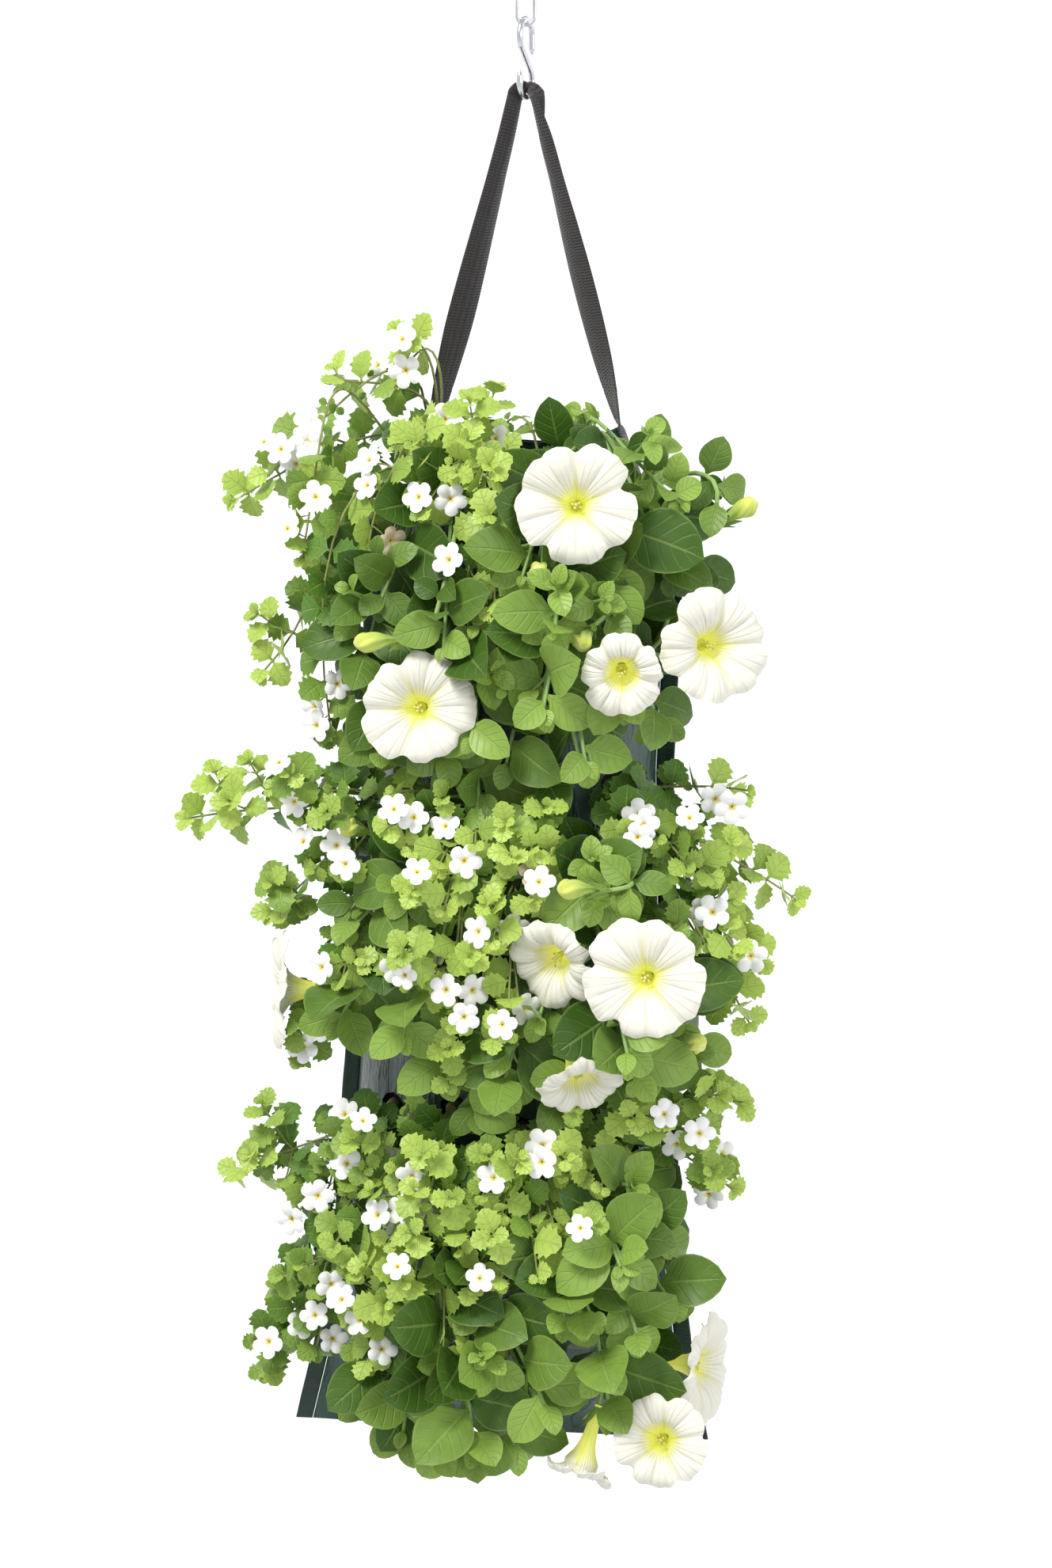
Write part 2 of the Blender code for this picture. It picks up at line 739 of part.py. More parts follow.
def grow_leaf(stem, part, face, length, width, blade, dice):
    for attempt in range(14):
        root, along, out = stem.way_out(part, face)
        size = 1.0 - 0.025 * attempt
        sway = Vector([dice.uniform(-0.06, 0.06) * attempt for _ in range(3)])
        heading = (along * dice.uniform(0.2, 0.6) + out + sway).normalized()
        up = along * 0.8 - out * 0.4 + VIEW_UP * 0.8
        up = (up - heading * up.dot(heading)).normalized()
        droop, fold = dice.uniform(0.2, 0.9), dice.uniform(0.15, 0.4)
        shape = (root, heading, up, length * size, width * size, blade, droop, fold)
        guard = lone_leaf(shape, BLADE + 0.0012)
        if is_free(guard, (stem.owner,)):
            stem.twigs.append((part, face, add_blade, (shape, BLADE)))
            remember(guard, f"{stem.owner} leaf", stem.plant)
            return


def grow_flower(stem, part, face, dice):
    for attempt in range(20):
        root, along, out = stem.way_out(part, face)
        sway = Vector((dice.uniform(-0.5, 0.5), dice.uniform(-0.8, 0.0), dice.uniform(-0.3, 0.6)))
        heading = (out + along * 0.3 + sway * 0.8).normalized()
        if heading.dot(out) < 0.3:
            continue
        tip = root + heading * dice.uniform(0.010, 0.016)
        facing = (heading + Vector((0, -0.9, 0.3))).normalized()
        guard = lone_flower(root, tip, facing, FLOWER + 0.0008)
        if heading.dot(facing) > 0.2 and is_free(guard, (stem.owner,)):
            stem.twigs.append((part, face, add_flower, (tip, facing, FLOWER)))
            remember(guard, f"{stem.owner} flower", stem.plant)
            return True
    return False


# ---------------------------------------------------------------- planting plan
# Necks on top stand in the compost at (x, y). Necks in front come out of a slit at (x, z).
NECKS = {
    "petunia_top_left": ("top", -0.035, -0.018), "petunia_top_right": ("top", 0.046, -0.014),
    "bacopa_top_left": ("top", -0.058, 0.006), "bacopa_top_centre": ("top", -0.008, -0.034),
    "bacopa_top_back": ("top", 0.002, 0.034),
    "petunia_mid_left": ("front", -0.040, -0.500), "petunia_mid_right": ("front", 0.045, -0.500),
    "bacopa_mid_left": ("front", -0.064, -0.470), "bacopa_mid_centre": ("front", -0.014, -0.468),
    "bacopa_mid_inner": ("front", 0.014, -0.500), "bacopa_mid_right": ("front", 0.060, -0.462),
    "petunia_low_left": ("front", -0.036, -0.695), "petunia_low_right": ("front", 0.045, -0.695),
    "bacopa_low_left": ("front", -0.070, -0.655), "bacopa_low_centre": ("front", -0.030, -0.650),
    "bacopa_low_inner": ("front", 0.010, -0.662), "bacopa_low_right": ("front", 0.060, -0.650),
}
# Blooms: plant, middle of the face, the way it faces, radius
BLOOMS = (
    ("petunia_top_right", (0.050, -0.125, -0.295), (0.15, -1.0, 0.10), 0.034),
    ("petunia_top_right", (0.125, -0.100, -0.375), (0.50, -0.85, 0.05), 0.033),
    ("petunia_top_right", (0.078, -0.138, -0.388), (0.15, -0.95, -0.05), 0.024),
    ("petunia_top_left", (-0.040, -0.125, -0.410), (0.10, -1.0, 0.10), 0.033),
    ("petunia_mid_right", (0.092, -0.145, -0.556), (0.05, -1.0, 0.15), 0.036),
    ("petunia_mid_right", (0.036, -0.128, -0.553), (-0.35, -0.85, -0.30), 0.028),
    ("petunia_mid_right", (0.056, -0.138, -0.620), (0.35, -0.62, -0.70), 0.026),
    ("petunia_mid_left", (-0.130, -0.090, -0.580), (-0.95, -0.30, 0.05), 0.034),
    ("petunia_low_right", (0.122, -0.085, -0.795), (0.95, -0.30, 0.00), 0.033),
    ("petunia_low_right", (0.100, -0.130, -0.826), (0.05, -0.95, 0.25), 0.028),
    ("petunia_low_right", (0.052, -0.122, -0.850), (-0.25, -0.30, -0.90), 0.021),
)
# Buds: plant, root, the way it points, length
BUDS = (
    ("petunia_top_right", (0.072, -0.055, -0.294), (0.55, -0.20, 0.80), 0.034),
    ("petunia_top_right", (0.118, -0.060, -0.311), (0.85, -0.15, 0.50), 0.030),
    ("petunia_top_left", (-0.042, -0.118, -0.372), (-0.95, -0.25, -0.05), 0.035),
    ("petunia_top_right", (0.028, -0.105, -0.338), (0.05, -0.90, 0.30), 0.022),
    ("petunia_top_right", (0.060, -0.122, -0.362), (-0.30, -0.70, -0.50), 0.020),
    ("petunia_mid_right", (0.072, -0.138, -0.508), (-0.95, -0.30, 0.05), 0.030),
    ("petunia_mid_right", (0.108, -0.112, -0.592), (0.65, -0.55, -0.30), 0.020),
    ("petunia_mid_left", (-0.075, -0.096, -0.486), (-0.55, -0.70, 0.30), 0.020),
)
# Leafy stems: tips, and for bacopa the number of small flowers near each tip
PETUNIA_TIPS = {
    "petunia_top_left": ((-0.092, -0.066, -0.318), (-0.066, -0.100, -0.352), (-0.078, -0.100, -0.392),
                         (-0.010, -0.120, -0.428)),
    "petunia_top_right": ((0.032, -0.128, -0.410), (0.055, -0.120, -0.440), (0.036, -0.122, -0.366),
                          (0.066, -0.110, -0.345), (0.094, -0.080, -0.340),
                          (0.034, -0.025, -0.250)),
    "petunia_mid_left": ((-0.048, -0.120, -0.516), (-0.082, -0.110, -0.540), (-0.090, -0.110, -0.595),
                         (-0.050, -0.120, -0.600)),
    "petunia_mid_right": ((0.006, -0.120, -0.630), (0.085, -0.125, -0.618),
                          (0.114, -0.100, -0.608), (0.062, -0.128, -0.516)),
    "petunia_low_left": ((-0.010, -0.120, -0.840), (-0.052, -0.105, -0.842), (0.026, -0.120, -0.812)),
    "petunia_low_right": ((0.078, -0.130, -0.722), (0.044, -0.130, -0.758), (0.104, -0.108, -0.752)),
}
BACOPA_TIPS = {
    "bacopa_top_left": ((-0.162, -0.060, -0.300, 0), (-0.066, -0.030, -0.206, 0),
                        (-0.108, -0.030, -0.224, 0), (-0.076, -0.010, -0.238, 1),
                        (-0.142, -0.060, -0.286, 1), (-0.112, -0.070, -0.276, 1),
                        (-0.114, -0.088, -0.330, 1), (-0.146, -0.060, -0.400, 0),
                        (-0.096, -0.095, -0.432, 1)),
    "bacopa_top_centre": ((-0.050, -0.045, -0.258, 1), (-0.078, -0.085, -0.298, 1),
                          (-0.044, -0.090, -0.304, 1), (-0.008, -0.095, -0.316, 0),
                          (-0.016, -0.110, -0.350, 1)),
    "bacopa_top_back": ((-0.040, 0.095, -0.300, 1), (0.030, 0.090, -0.290, 0)),
    "bacopa_mid_left": ((-0.132, -0.090, -0.462, 1), (-0.190, -0.070, -0.485, 0),
                        (-0.106, -0.100, -0.508, 1), (-0.138, -0.075, -0.540, 0),
                        (-0.116, -0.085, -0.622, 1)),
    "bacopa_mid_centre": ((-0.060, -0.120, -0.480, 1), (-0.028, -0.125, -0.500, 1),
                          (-0.070, -0.122, -0.560, 1), (-0.020, -0.130, -0.574, 1)),
    "bacopa_mid_inner": ((0.010, -0.125, -0.474, 0), (0.026, -0.132, -0.516, 1),
                         (0.014, -0.138, -0.592, 1)),
    "bacopa_mid_right": ((0.078, -0.112, -0.484, 1), (0.140, -0.070, -0.460, 1),
                         (0.168, -0.060, -0.524, 0), (0.150, -0.070, -0.560, 1),
                         (0.128, -0.085, -0.535, 1), (0.142, -0.070, -0.594, 0)),
    "bacopa_low_left": ((-0.166, -0.060, -0.700, 0), (-0.150, -0.055, -0.822, 0),
                        (-0.120, -0.090, -0.714, 1), (-0.096, -0.100, -0.672, 1),
                        (-0.110, -0.090, -0.796, 1)),
    "bacopa_low_centre": ((-0.054, -0.116, -0.690, 1), (-0.046, -0.120, -0.728, 1),
                          (-0.074, -0.112, -0.796, 1), (-0.012, -0.118, -0.786, 1)),
    "bacopa_low_inner": ((0.008, -0.125, -0.700, 1), (0.046, -0.130, -0.664, 1),
                         (0.030, -0.132, -0.732, 0)),
    "bacopa_low_right": ((0.096, -0.120, -0.642, 1), (0.122, -0.098, -0.658, 1),
                         (0.140, -0.075, -0.640, 0), (0.134, -0.080, -0.690, 1)),
}


def neck_line(name):
    """A plant's neck: its foot in the compost, its end outside, the way it grows."""
    place, a, b = NECKS[name]
    if place == "top":
        return Vector((a, b, SOIL_TOP - CROWN_DEEP)), Vector((a, b, SOIL_TOP + 0.014)), Vector((0, 0, 1))
    x = (a - bag_middle(b)) / ease(BAG_HALF_WIDTH, b)
    skin = -ease(BAG_HALF_DEPTH, b) * (1 - x * x) ** 0.575
    return Vector((a, skin + CROWN_DEEP, b)), Vector((a, skin - 0.007, b)), Vector((0, -1, 0))


def plant_all():
    remember(bag(), "bag", "bag")
    remember(strap(), "strap", "strap")
    for side in (-1, 1):
        remember(side_seam(side), "seam", "seam")
    remember(soil(), "soil", "soil")
    for name in NECKS:
        foot, end, way = neck_line(name)
        plants[name] = [tube([foot, end], [CROWN, CROWN * 0.8], 6)]
        remember(tube([end - way * 0.005, end], [CROWN, CROWN], 6), name, name)
    blooms, buds, stems = [], [], []
    for number, (name, middle, facing, radius) in enumerate(BLOOMS, 1):
        dice = random.Random(f"bloom {number}")
        middle, facing = Vector(middle), Vector(facing).normalized()
        blooms.append(bloom(middle, facing, radius, 0.3 * number, 0.0025, dice))
        guard = bloom(middle, facing, radius + 0.001, 0.3 * number, 0.0, dice)
        remember(guard, f"bloom {number}", f"bloom {number}")
    for number, (name, root, heading, long) in enumerate(BUDS, 1):
        shape = bud(Vector(root), Vector(heading).normalized(), long)
        buds.append(shape)
        remember(shape, f"bud {number}", f"bud {number}")
    for number, (name, middle, facing, radius) in enumerate(BLOOMS, 1):
        facing = Vector(facing).normalized()
        base = Vector(middle) - facing * (TUBE_LONG + GAP)
        grow_stem(name, f"stalk {number}", base, facing, PETUNIA_STEM, 5, cup=0.0026)
    for number, (name, root, heading, long) in enumerate(BUDS, 1):
        heading = Vector(heading).normalized()
        base = Vector(root) - heading * GAP
        grow_stem(name, f"bud stalk {number}", base, heading, PETUNIA_STEM, 4, cup=0.0018)
    for name, tips in BACOPA_TIPS.items():
        for number, (x, y, z, flowers) in enumerate(tips):
            owner = f"{name} {number}"
            stem = grow_stem(name, owner, Vector((x, y, z)), None, BACOPA_STEM, 4)
            if stem:
                stems.append((stem, flowers))
    for name, tips in PETUNIA_TIPS.items():
        for number, tip in enumerate(tips):
            owner = f"{name} {number}"
            stem = grow_stem(name, owner, Vector(tip), None, PETUNIA_STEM, 4)
            if stem:
                stems.append((stem, 0))
    grow_leaves(stems)
    return blooms, buds


def grow_leaves(stems):
    for stem, flowers in stems:
        dice = random.Random(f"flowers {stem.owner}")
        for k in range(flowers):
            for face in (0, 1, 2, 3):
                if grow_flower(stem, 0.90 - 0.15 * k, face, dice):
                    break
    for stem, flowers in stems:
        if not stem.plant.startswith("petunia"):
            continue
        dice = random.Random(f"leaves {stem.owner}")
        for part, face in ((TOP_KNOT, 0), (LOW_KNOT, 2)):
            size = dice.uniform(*PETUNIA_LEAF)
            grow_leaf(stem, part, face, size, size * 0.66, PETUNIA_BLADE, dice)
    for stem, flowers in stems:
        if not stem.plant.startswith("bacopa"):
            continue
        dice = random.Random(f"leaves {stem.owner}")
        knots = ((TOP_KNOT, 0), (LOW_KNOT, 1)) if stem.long() > TWO_KNOTS else ((TOP_KNOT, 0),)
        for part, face in knots:
            for opposite in (face, face + 2):
                size = dice.uniform(*BACOPA_LEAF)
                grow_leaf(stem, part, opposite, size, size * 0.82, BACOPA_BLADE, dice)
    for stem, flowers in stems:
        plants[stem.plant].append(stem.body())


# ---------------------------------------------------------------- build
def main():
    clear_scene()
    steel = material("zinc_steel", (0.62, 0.64, 0.66), 0.28, 1.0)
    webbing = material("strap_webbing", (0.038, 0.029, 0.029), 0.75)
    woven = material("woven_green", (0.014, 0.045, 0.032), 0.32)
    tape = material("seam_tape", (0.010, 0.030, 0.022), 0.55)
    compost = material("compost", (0.022, 0.014, 0.009), 0.95)
    petal = material("petal_white", (0.95, 0.94, 0.86), 0.6)
    bud_green = material("bud_green", (0.55, 0.66, 0.20), 0.55)
    petunia_green = material("petunia_green", (0.085, 0.22, 0.055), 0.5)
    bacopa_green = material("bacopa_green", (0.22, 0.42, 0.06), 0.5)

    smooth(add_object("chain_link", chain_link(), steel), 60)
    smooth(add_object("s_hook", s_hook(), steel), 60)
    smooth(add_object("strap", strap(), webbing), 40)
    pouch = add_object("bag", bag(), woven)
    filling = add_object("soil", soil(), compost)
    smooth(add_object("side_seam_left", side_seam(-1), tape), 40)
    smooth(add_object("side_seam_right", side_seam(1), tape), 40)

    blooms, buds = plant_all()
    slits, holes = [], []
    for name in NECKS:
        foot, end, way = neck_line(name)
        shape = tube([foot - way * GAP, end + way * 0.010], [CROWN + GAP] * 2, 6)
        holes.append(add_object("hole " + name, shape, compost))
        if NECKS[name][0] == "front":
            shape = tube([end - way * 0.024, end + way * 0.010], [SLIT] * 2, 4)
            slits.append(add_object("slit " + name, shape, woven))
    combine(pouch, slits, "DIFFERENCE")
    combine(filling, holes, "DIFFERENCE")
    smooth(pouch, 40)
    smooth(filling, 40)
    for number, shape in enumerate(blooms, 1):
        smooth(add_object(f"petunia_bloom_{number:02d}", shape, petal), 60)
    for number, shape in enumerate(buds, 1):
        smooth(add_object(f"petunia_bud_{number}", shape, bud_green), 60)
    for name, shapes in plants.items():
        green = petunia_green if name.startswith("petunia") else bacopa_green
        parts = [add_object(f"{name} {k}", shape, green) for k, shape in enumerate(shapes)]
        parts[0].name = name
        combine(parts[0], parts[1:], "UNION", "MANIFOLD")
        fill_hollows(parts[0])


main()
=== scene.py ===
"""Dresses the frame of a hanging flower pouch: woven bag, webbing strap, S-hook, compost,
white petunias and white bacopa. Metres, +Z up, the front of the bag faces -Y."""
import random
from math import acos, copysign, cos, exp, pi, radians, sin

import bmesh
import bpy
import numpy as np
from bpy.props import FloatProperty, FloatVectorProperty, PointerProperty
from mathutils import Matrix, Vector, noise
from mathutils.bvhtree import BVHTree


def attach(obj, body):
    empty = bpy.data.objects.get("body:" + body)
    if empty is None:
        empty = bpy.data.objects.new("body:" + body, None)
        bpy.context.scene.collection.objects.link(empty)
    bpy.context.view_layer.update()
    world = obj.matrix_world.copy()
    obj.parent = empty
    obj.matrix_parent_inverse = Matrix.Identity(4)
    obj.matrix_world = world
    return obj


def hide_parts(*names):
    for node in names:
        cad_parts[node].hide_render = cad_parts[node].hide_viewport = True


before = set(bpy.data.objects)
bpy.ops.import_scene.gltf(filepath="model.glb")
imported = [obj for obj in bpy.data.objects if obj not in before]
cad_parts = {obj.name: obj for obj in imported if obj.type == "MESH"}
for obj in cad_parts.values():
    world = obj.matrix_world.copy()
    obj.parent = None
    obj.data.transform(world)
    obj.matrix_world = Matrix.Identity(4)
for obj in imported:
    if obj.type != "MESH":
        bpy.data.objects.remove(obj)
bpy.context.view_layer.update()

bl_info = {
    "name": "Planted Hanging Pouch",
    "version": (1, 0, 0),
    "blender": (4, 5, 0),
    "location": "3D View > Sidebar > Pouch",
    "description": "Bag, strap, hook, compost, petunias and bacopa of a hanging flower pouch",
    "category": "Add Mesh",
}

# ------------------------------------------------------------------ the frame's sizes
GAP = 0.0003
LINK_WIRE, LINK_INSIDE, LINK_BEND = 0.0012, 0.026, 0.0051
HOOK_WIRE, HOOK_BEND, HOOK_TALL = 0.0020, 0.0095, 0.0487
HOOK_TURN = radians(12)
HOOK_MOUTH, HOOK_TIP = 0.0108, 0.0065
STRAP_THICK, STRAP_LAP = 0.0015, 0.030
BAG_TOP, BAG_FOOT = -0.2585, -0.866
FRONT_DIP, BACK_DIP = 0.042, 0.011
WALL = 0.0015
BAG_HALF_WIDTH = ((-0.2585, 0.055), (-0.290, 0.068), (-0.340, 0.085), (-0.460, 0.083),
                  (-0.640, 0.091), (-0.740, 0.095), (-0.820, 0.107), (-0.866, 0.117))
BAG_HALF_DEPTH = ((-0.2585, 0.045), (-0.300, 0.060), (-0.360, 0.071), (-0.500, 0.075),
                  (-0.660, 0.077), (-0.760, 0.066), (-0.820, 0.036), (-0.846, 0.012),
                  (-0.854, 0.0016), (-0.866, 0.0016))
BAG_LEAN = -0.016
SEAM_WIDE, SEAM_THICK, SEAM_TOP = 0.0105, 0.0016, -0.292
POCKET_FLOOR, SOIL_TOP = -0.838, -0.312
SLIT, CROWN, CROWN_DEEP = 0.0085, 0.0048, 0.022
PETUNIA_STEM, BACOPA_STEM = 0.0014, 0.0008
TUBE_LONG, TUBE_END = 0.040, 0.0022
FLOWER = 0.0090
VIEW_UP = Vector((0.1, -0.75, 0.65))
NECK_TALL, NECK_OUT = 0.014, 0.007
WIRE_SIDES, WIRE_RINGS = 20, 160
BLADE_TRIES, SIDE_TRIES, FLOWER_TRIES, LINE_TRIES, STEM_STEPS = 5, 6, 14, 60, 8
ROUND = 2 * pi
SPIN = 6.28                     # a turn of chance
FIFTH, SIXTH, THIRDS = 1.2566, 1.0472, (0, 2.094, 4.189)

# The tables are in millimetres.
# Necks on top stand in the compost at (x, y). Necks in front come out of a slit at (x, z).
NECKS = {
    "petunia_top_left": ("top", -35, -18), "petunia_top_right": ("top", 46, -14),
    "bacopa_top_left": ("top", -58, 6), "bacopa_top_centre": ("top", -8, -34),
    "bacopa_top_back": ("top", 2, 34), "petunia_mid_left": ("front", -40, -500),
    "petunia_mid_right": ("front", 45, -500), "bacopa_mid_left": ("front", -64, -470),
    "bacopa_mid_centre": ("front", -14, -468), "bacopa_mid_inner": ("front", 14, -500),
    "bacopa_mid_right": ("front", 60, -462), "petunia_low_left": ("front", -36, -695),
    "petunia_low_right": ("front", 45, -695), "bacopa_low_left": ("front", -70, -655),
    "bacopa_low_centre": ("front", -30, -650), "bacopa_low_inner": ("front", 10, -662),
    "bacopa_low_right": ("front", 60, -650),
}
# Blooms: plant, middle of the face, the way it faces, radius
BLOOMS = (
    ("petunia_top_right", (50, -125, -295), (0.15, -1.0, 0.1), 34),
    ("petunia_top_right", (125, -100, -375), (0.5, -0.85, 0.05), 33),
    ("petunia_top_right", (78, -138, -388), (0.15, -0.95, -0.05), 24),
    ("petunia_top_left", (-40, -125, -410), (0.1, -1.0, 0.1), 33),
    ("petunia_mid_right", (92, -145, -556), (0.05, -1.0, 0.15), 36),
    ("petunia_mid_right", (36, -128, -553), (-0.35, -0.85, -0.3), 28),
    ("petunia_mid_right", (56, -138, -620), (0.35, -0.62, -0.7), 26),
    ("petunia_mid_left", (-130, -90, -580), (-0.95, -0.3, 0.05), 34),
    ("petunia_low_right", (122, -85, -795), (0.95, -0.3, 0.0), 33),
    ("petunia_low_right", (100, -130, -826), (0.05, -0.95, 0.25), 28),
    ("petunia_low_right", (52, -122, -850), (-0.25, -0.3, -0.9), 21),
)
# Buds: plant, root, the way it points, length
BUDS = (
    ("petunia_top_right", (72, -55, -294), (0.55, -0.2, 0.8), 34),
    ("petunia_top_right", (118, -60, -311), (0.85, -0.15, 0.5), 30),
    ("petunia_top_left", (-42, -118, -372), (-0.95, -0.25, -0.05), 35),
    ("petunia_top_right", (28, -105, -338), (0.05, -0.9, 0.3), 22),
    ("petunia_top_right", (60, -122, -362), (-0.3, -0.7, -0.5), 20),
    ("petunia_mid_right", (72, -138, -508), (-0.95, -0.3, 0.05), 30),
    ("petunia_mid_right", (108, -112, -592), (0.65, -0.55, -0.3), 20),
    ("petunia_mid_left", (-75, -96, -486), (-0.55, -0.7, 0.3), 20),
)
# Tips of the leafy shoots
PETUNIA_TIPS = {
    "petunia_top_left": (
        (-92, -66, -318), (-66, -100, -352), (-78, -100, -392), (-10, -120, -428),
        (-66, -105, -438), (-29, -105, -442), (-46, -110, -405), (-9, -115, -427),
        (-80, -100, -367), (-26, -118, -377), (-50, -90, -460), (-10, -98, -465)),
    "petunia_top_right": (
        (32, -128, -410), (55, -120, -440), (36, -122, -366), (66, -110, -345), (94, -80, -340),
        (34, -25, -250), (31, -125, -411), (52, -115, -443), (40, -135, -366), (10, -120, -399),
        (77, -115, -407), (93, -105, -419), (103, -80, -298), (19, -120, -336), (6, -100, -446),
        (66, -105, -337), (28, -92, -462), (60, -92, -300)),
    "petunia_mid_left": (
        (-48, -120, -516), (-82, -110, -540), (-90, -110, -595), (-50, -120, -600),
        (-91, -100, -596), (-47, -110, -601), (-71, -105, -571), (-29, -110, -624),
        (-11, -105, -647), (-86, -100, -531), (-40, -95, -560)),
    "petunia_mid_right": (
        (6, -120, -630), (85, -125, -618), (114, -100, -608), (62, -128, -516), (84, -150, -600),
        (51, -120, -625), (73, -120, -513), (107, -105, -592), (29, -125, -586), (98, -105, -547),
        (10, -118, -611), (40, -100, -645)),
    "petunia_low_left": (
        (-10, -120, -840), (-52, -105, -842), (26, -120, -812), (-8, -125, -838),
        (-27, -120, -845), (-52, -115, -834), (-73, -105, -820), (14, -118, -840),
        (-26, -125, -797), (2, -125, -795), (35, -130, -811), (-50, -100, -790)),
    "petunia_low_right": (
        (78, -130, -722), (44, -130, -758), (104, -108, -752), (78, -135, -724), (53, -130, -759),
        (98, -108, -715), (86, -120, -769), (66, -125, -792), (38, -125, -747), (82, -115, -683),
        (69, -115, -818)),
}
# The last number is how many small flowers stand near the tip.
BACOPA_TIPS = {
    "bacopa_top_left": (
        (-162, -60, -300, 0), (-66, -30, -206, 0), (-108, -30, -224, 0), (-76, -10, -238, 1),
        (-142, -60, -286, 1), (-112, -70, -276, 1), (-114, -88, -330, 1), (-146, -60, -400, 0),
        (-96, -95, -432, 1), (-62, -75, -265, 0), (-74, -95, -322, 2)),
    "bacopa_top_centre": (
        (-50, -45, -258, 1), (-78, -85, -298, 1), (-44, -90, -304, 1), (-8, -95, -316, 0),
        (-16, -110, -350, 1), (-25, -90, -281, 0), (-11, -100, -296, 0), (4, -125, -358, 0)),
    "bacopa_top_back": (
        (-40, 95, -300, 1), (30, 90, -290, 0)),
    "bacopa_mid_left": (
        (-132, -90, -462, 1), (-190, -70, -485, 0), (-106, -100, -508, 1), (-138, -75, -540, 0),
        (-116, -85, -622, 1), (-133, -85, -465, 0), (-95, -100, -462, 0), (-88, -110, -506, 1),
        (-87, -115, -570, 1)),
    "bacopa_mid_centre": (
        (-60, -120, -480, 1), (-28, -125, -500, 1), (-70, -122, -560, 1), (-20, -130, -574, 1),
        (-56, -110, -460, 0), (-27, -115, -463, 0), (-7, -125, -486, 0), (-44, -120, -492, 0),
        (-24, -130, -524, 0), (-31, -130, -567, 0), (-18, -130, -589, 1), (-25, -115, -627, 0)),
    "bacopa_mid_inner": (
        (10, -125, -474, 0), (26, -132, -516, 1), (14, -138, -592, 1), (14, -130, -491, 0),
        (32, -115, -466, 0), (4, -135, -540, 1), (38, -125, -491, 0), (18, -125, -578, 0)),
    "bacopa_mid_right": (
        (78, -112, -484, 1), (140, -70, -460, 1), (168, -60, -524, 0), (150, -70, -560, 1),
        (128, -85, -535, 1), (142, -70, -594, 0), (93, -105, -484, 1), (111, -105, -499, 0),
        (124, -95, -507, 0), (137, -90, -549, 0), (120, -100, -543, 0)),
    "bacopa_low_left": (
        (-166, -60, -700, 0), (-150, -55, -822, 0), (-120, -90, -714, 1), (-96, -100, -672, 1),
        (-110, -90, -796, 1), (-108, -90, -688, 0), (-87, -100, -694, 1), (-105, -105, -755, 1),
        (-135, -80, -802, 1), (-78, -120, -740, 0)),
    "bacopa_low_centre": (
        (-54, -116, -690, 1), (-46, -120, -728, 1), (-74, -112, -796, 1), (-12, -118, -786, 1),
        (-67, -105, -687, 0), (-36, -120, -696, 0), (-58, -125, -719, 1), (-16, -130, -720, 0),
        (-44, -130, -749, 0), (-69, -120, -772, 0), (-26, -125, -783, 1)),
    "bacopa_low_inner": (
        (8, -125, -700, 1), (46, -130, -664, 1), (30, -132, -732, 0), (-4, -120, -690, 0),
        (15, -125, -725, 0), (37, -120, -704, 0), (56, -120, -729, 0), (7, -130, -738, 0),
        (10, -120, -787, 0)),
    "bacopa_low_right": (
        (96, -120, -642, 1), (122, -98, -658, 1), (140, -75, -640, 0), (134, -80, -690, 1),
        (50, -115, -638, 0), (83, -120, -642, 0), (65, -120, -682, 0), (129, -95, -632, 0)),
}


# ------------------------------------------------------------------ shader sums
class Sum:
    """One output of a shader node, which takes part in Python sums."""

    def __init__(self, finish, socket):
        self.finish, self.socket = finish, socket

    def reckon(self, how, first, second=0.0):
        return self.finish.node("Math", {"operation": how}, {0: first, 1: second})

    def __add__(self, other):
        return self.reckon("ADD", self, other)

    def __sub__(self, other):
        return self.reckon("SUBTRACT", self, other)

    def __rsub__(self, other):
        return self.reckon("SUBTRACT", other, self)

    def __mul__(self, other):
        return self.reckon("MULTIPLY", self, other)

    __radd__, __rmul__ = __add__, __mul__

    def size(self):
        return self.reckon("ABSOLUTE", self)

    def wave(self):
        return self.reckon("SINE", self)

    def part(self):
        return self.reckon("FRACT", self)

    def between(self, low, high):
        """0 below low, 1 above high, eased between."""
        return self.finish.node("MapRange", {"interpolation_type": "SMOOTHSTEP"},
                                {0: self, 1: low, 2: high, 3: 0.0, 4: 1.0})


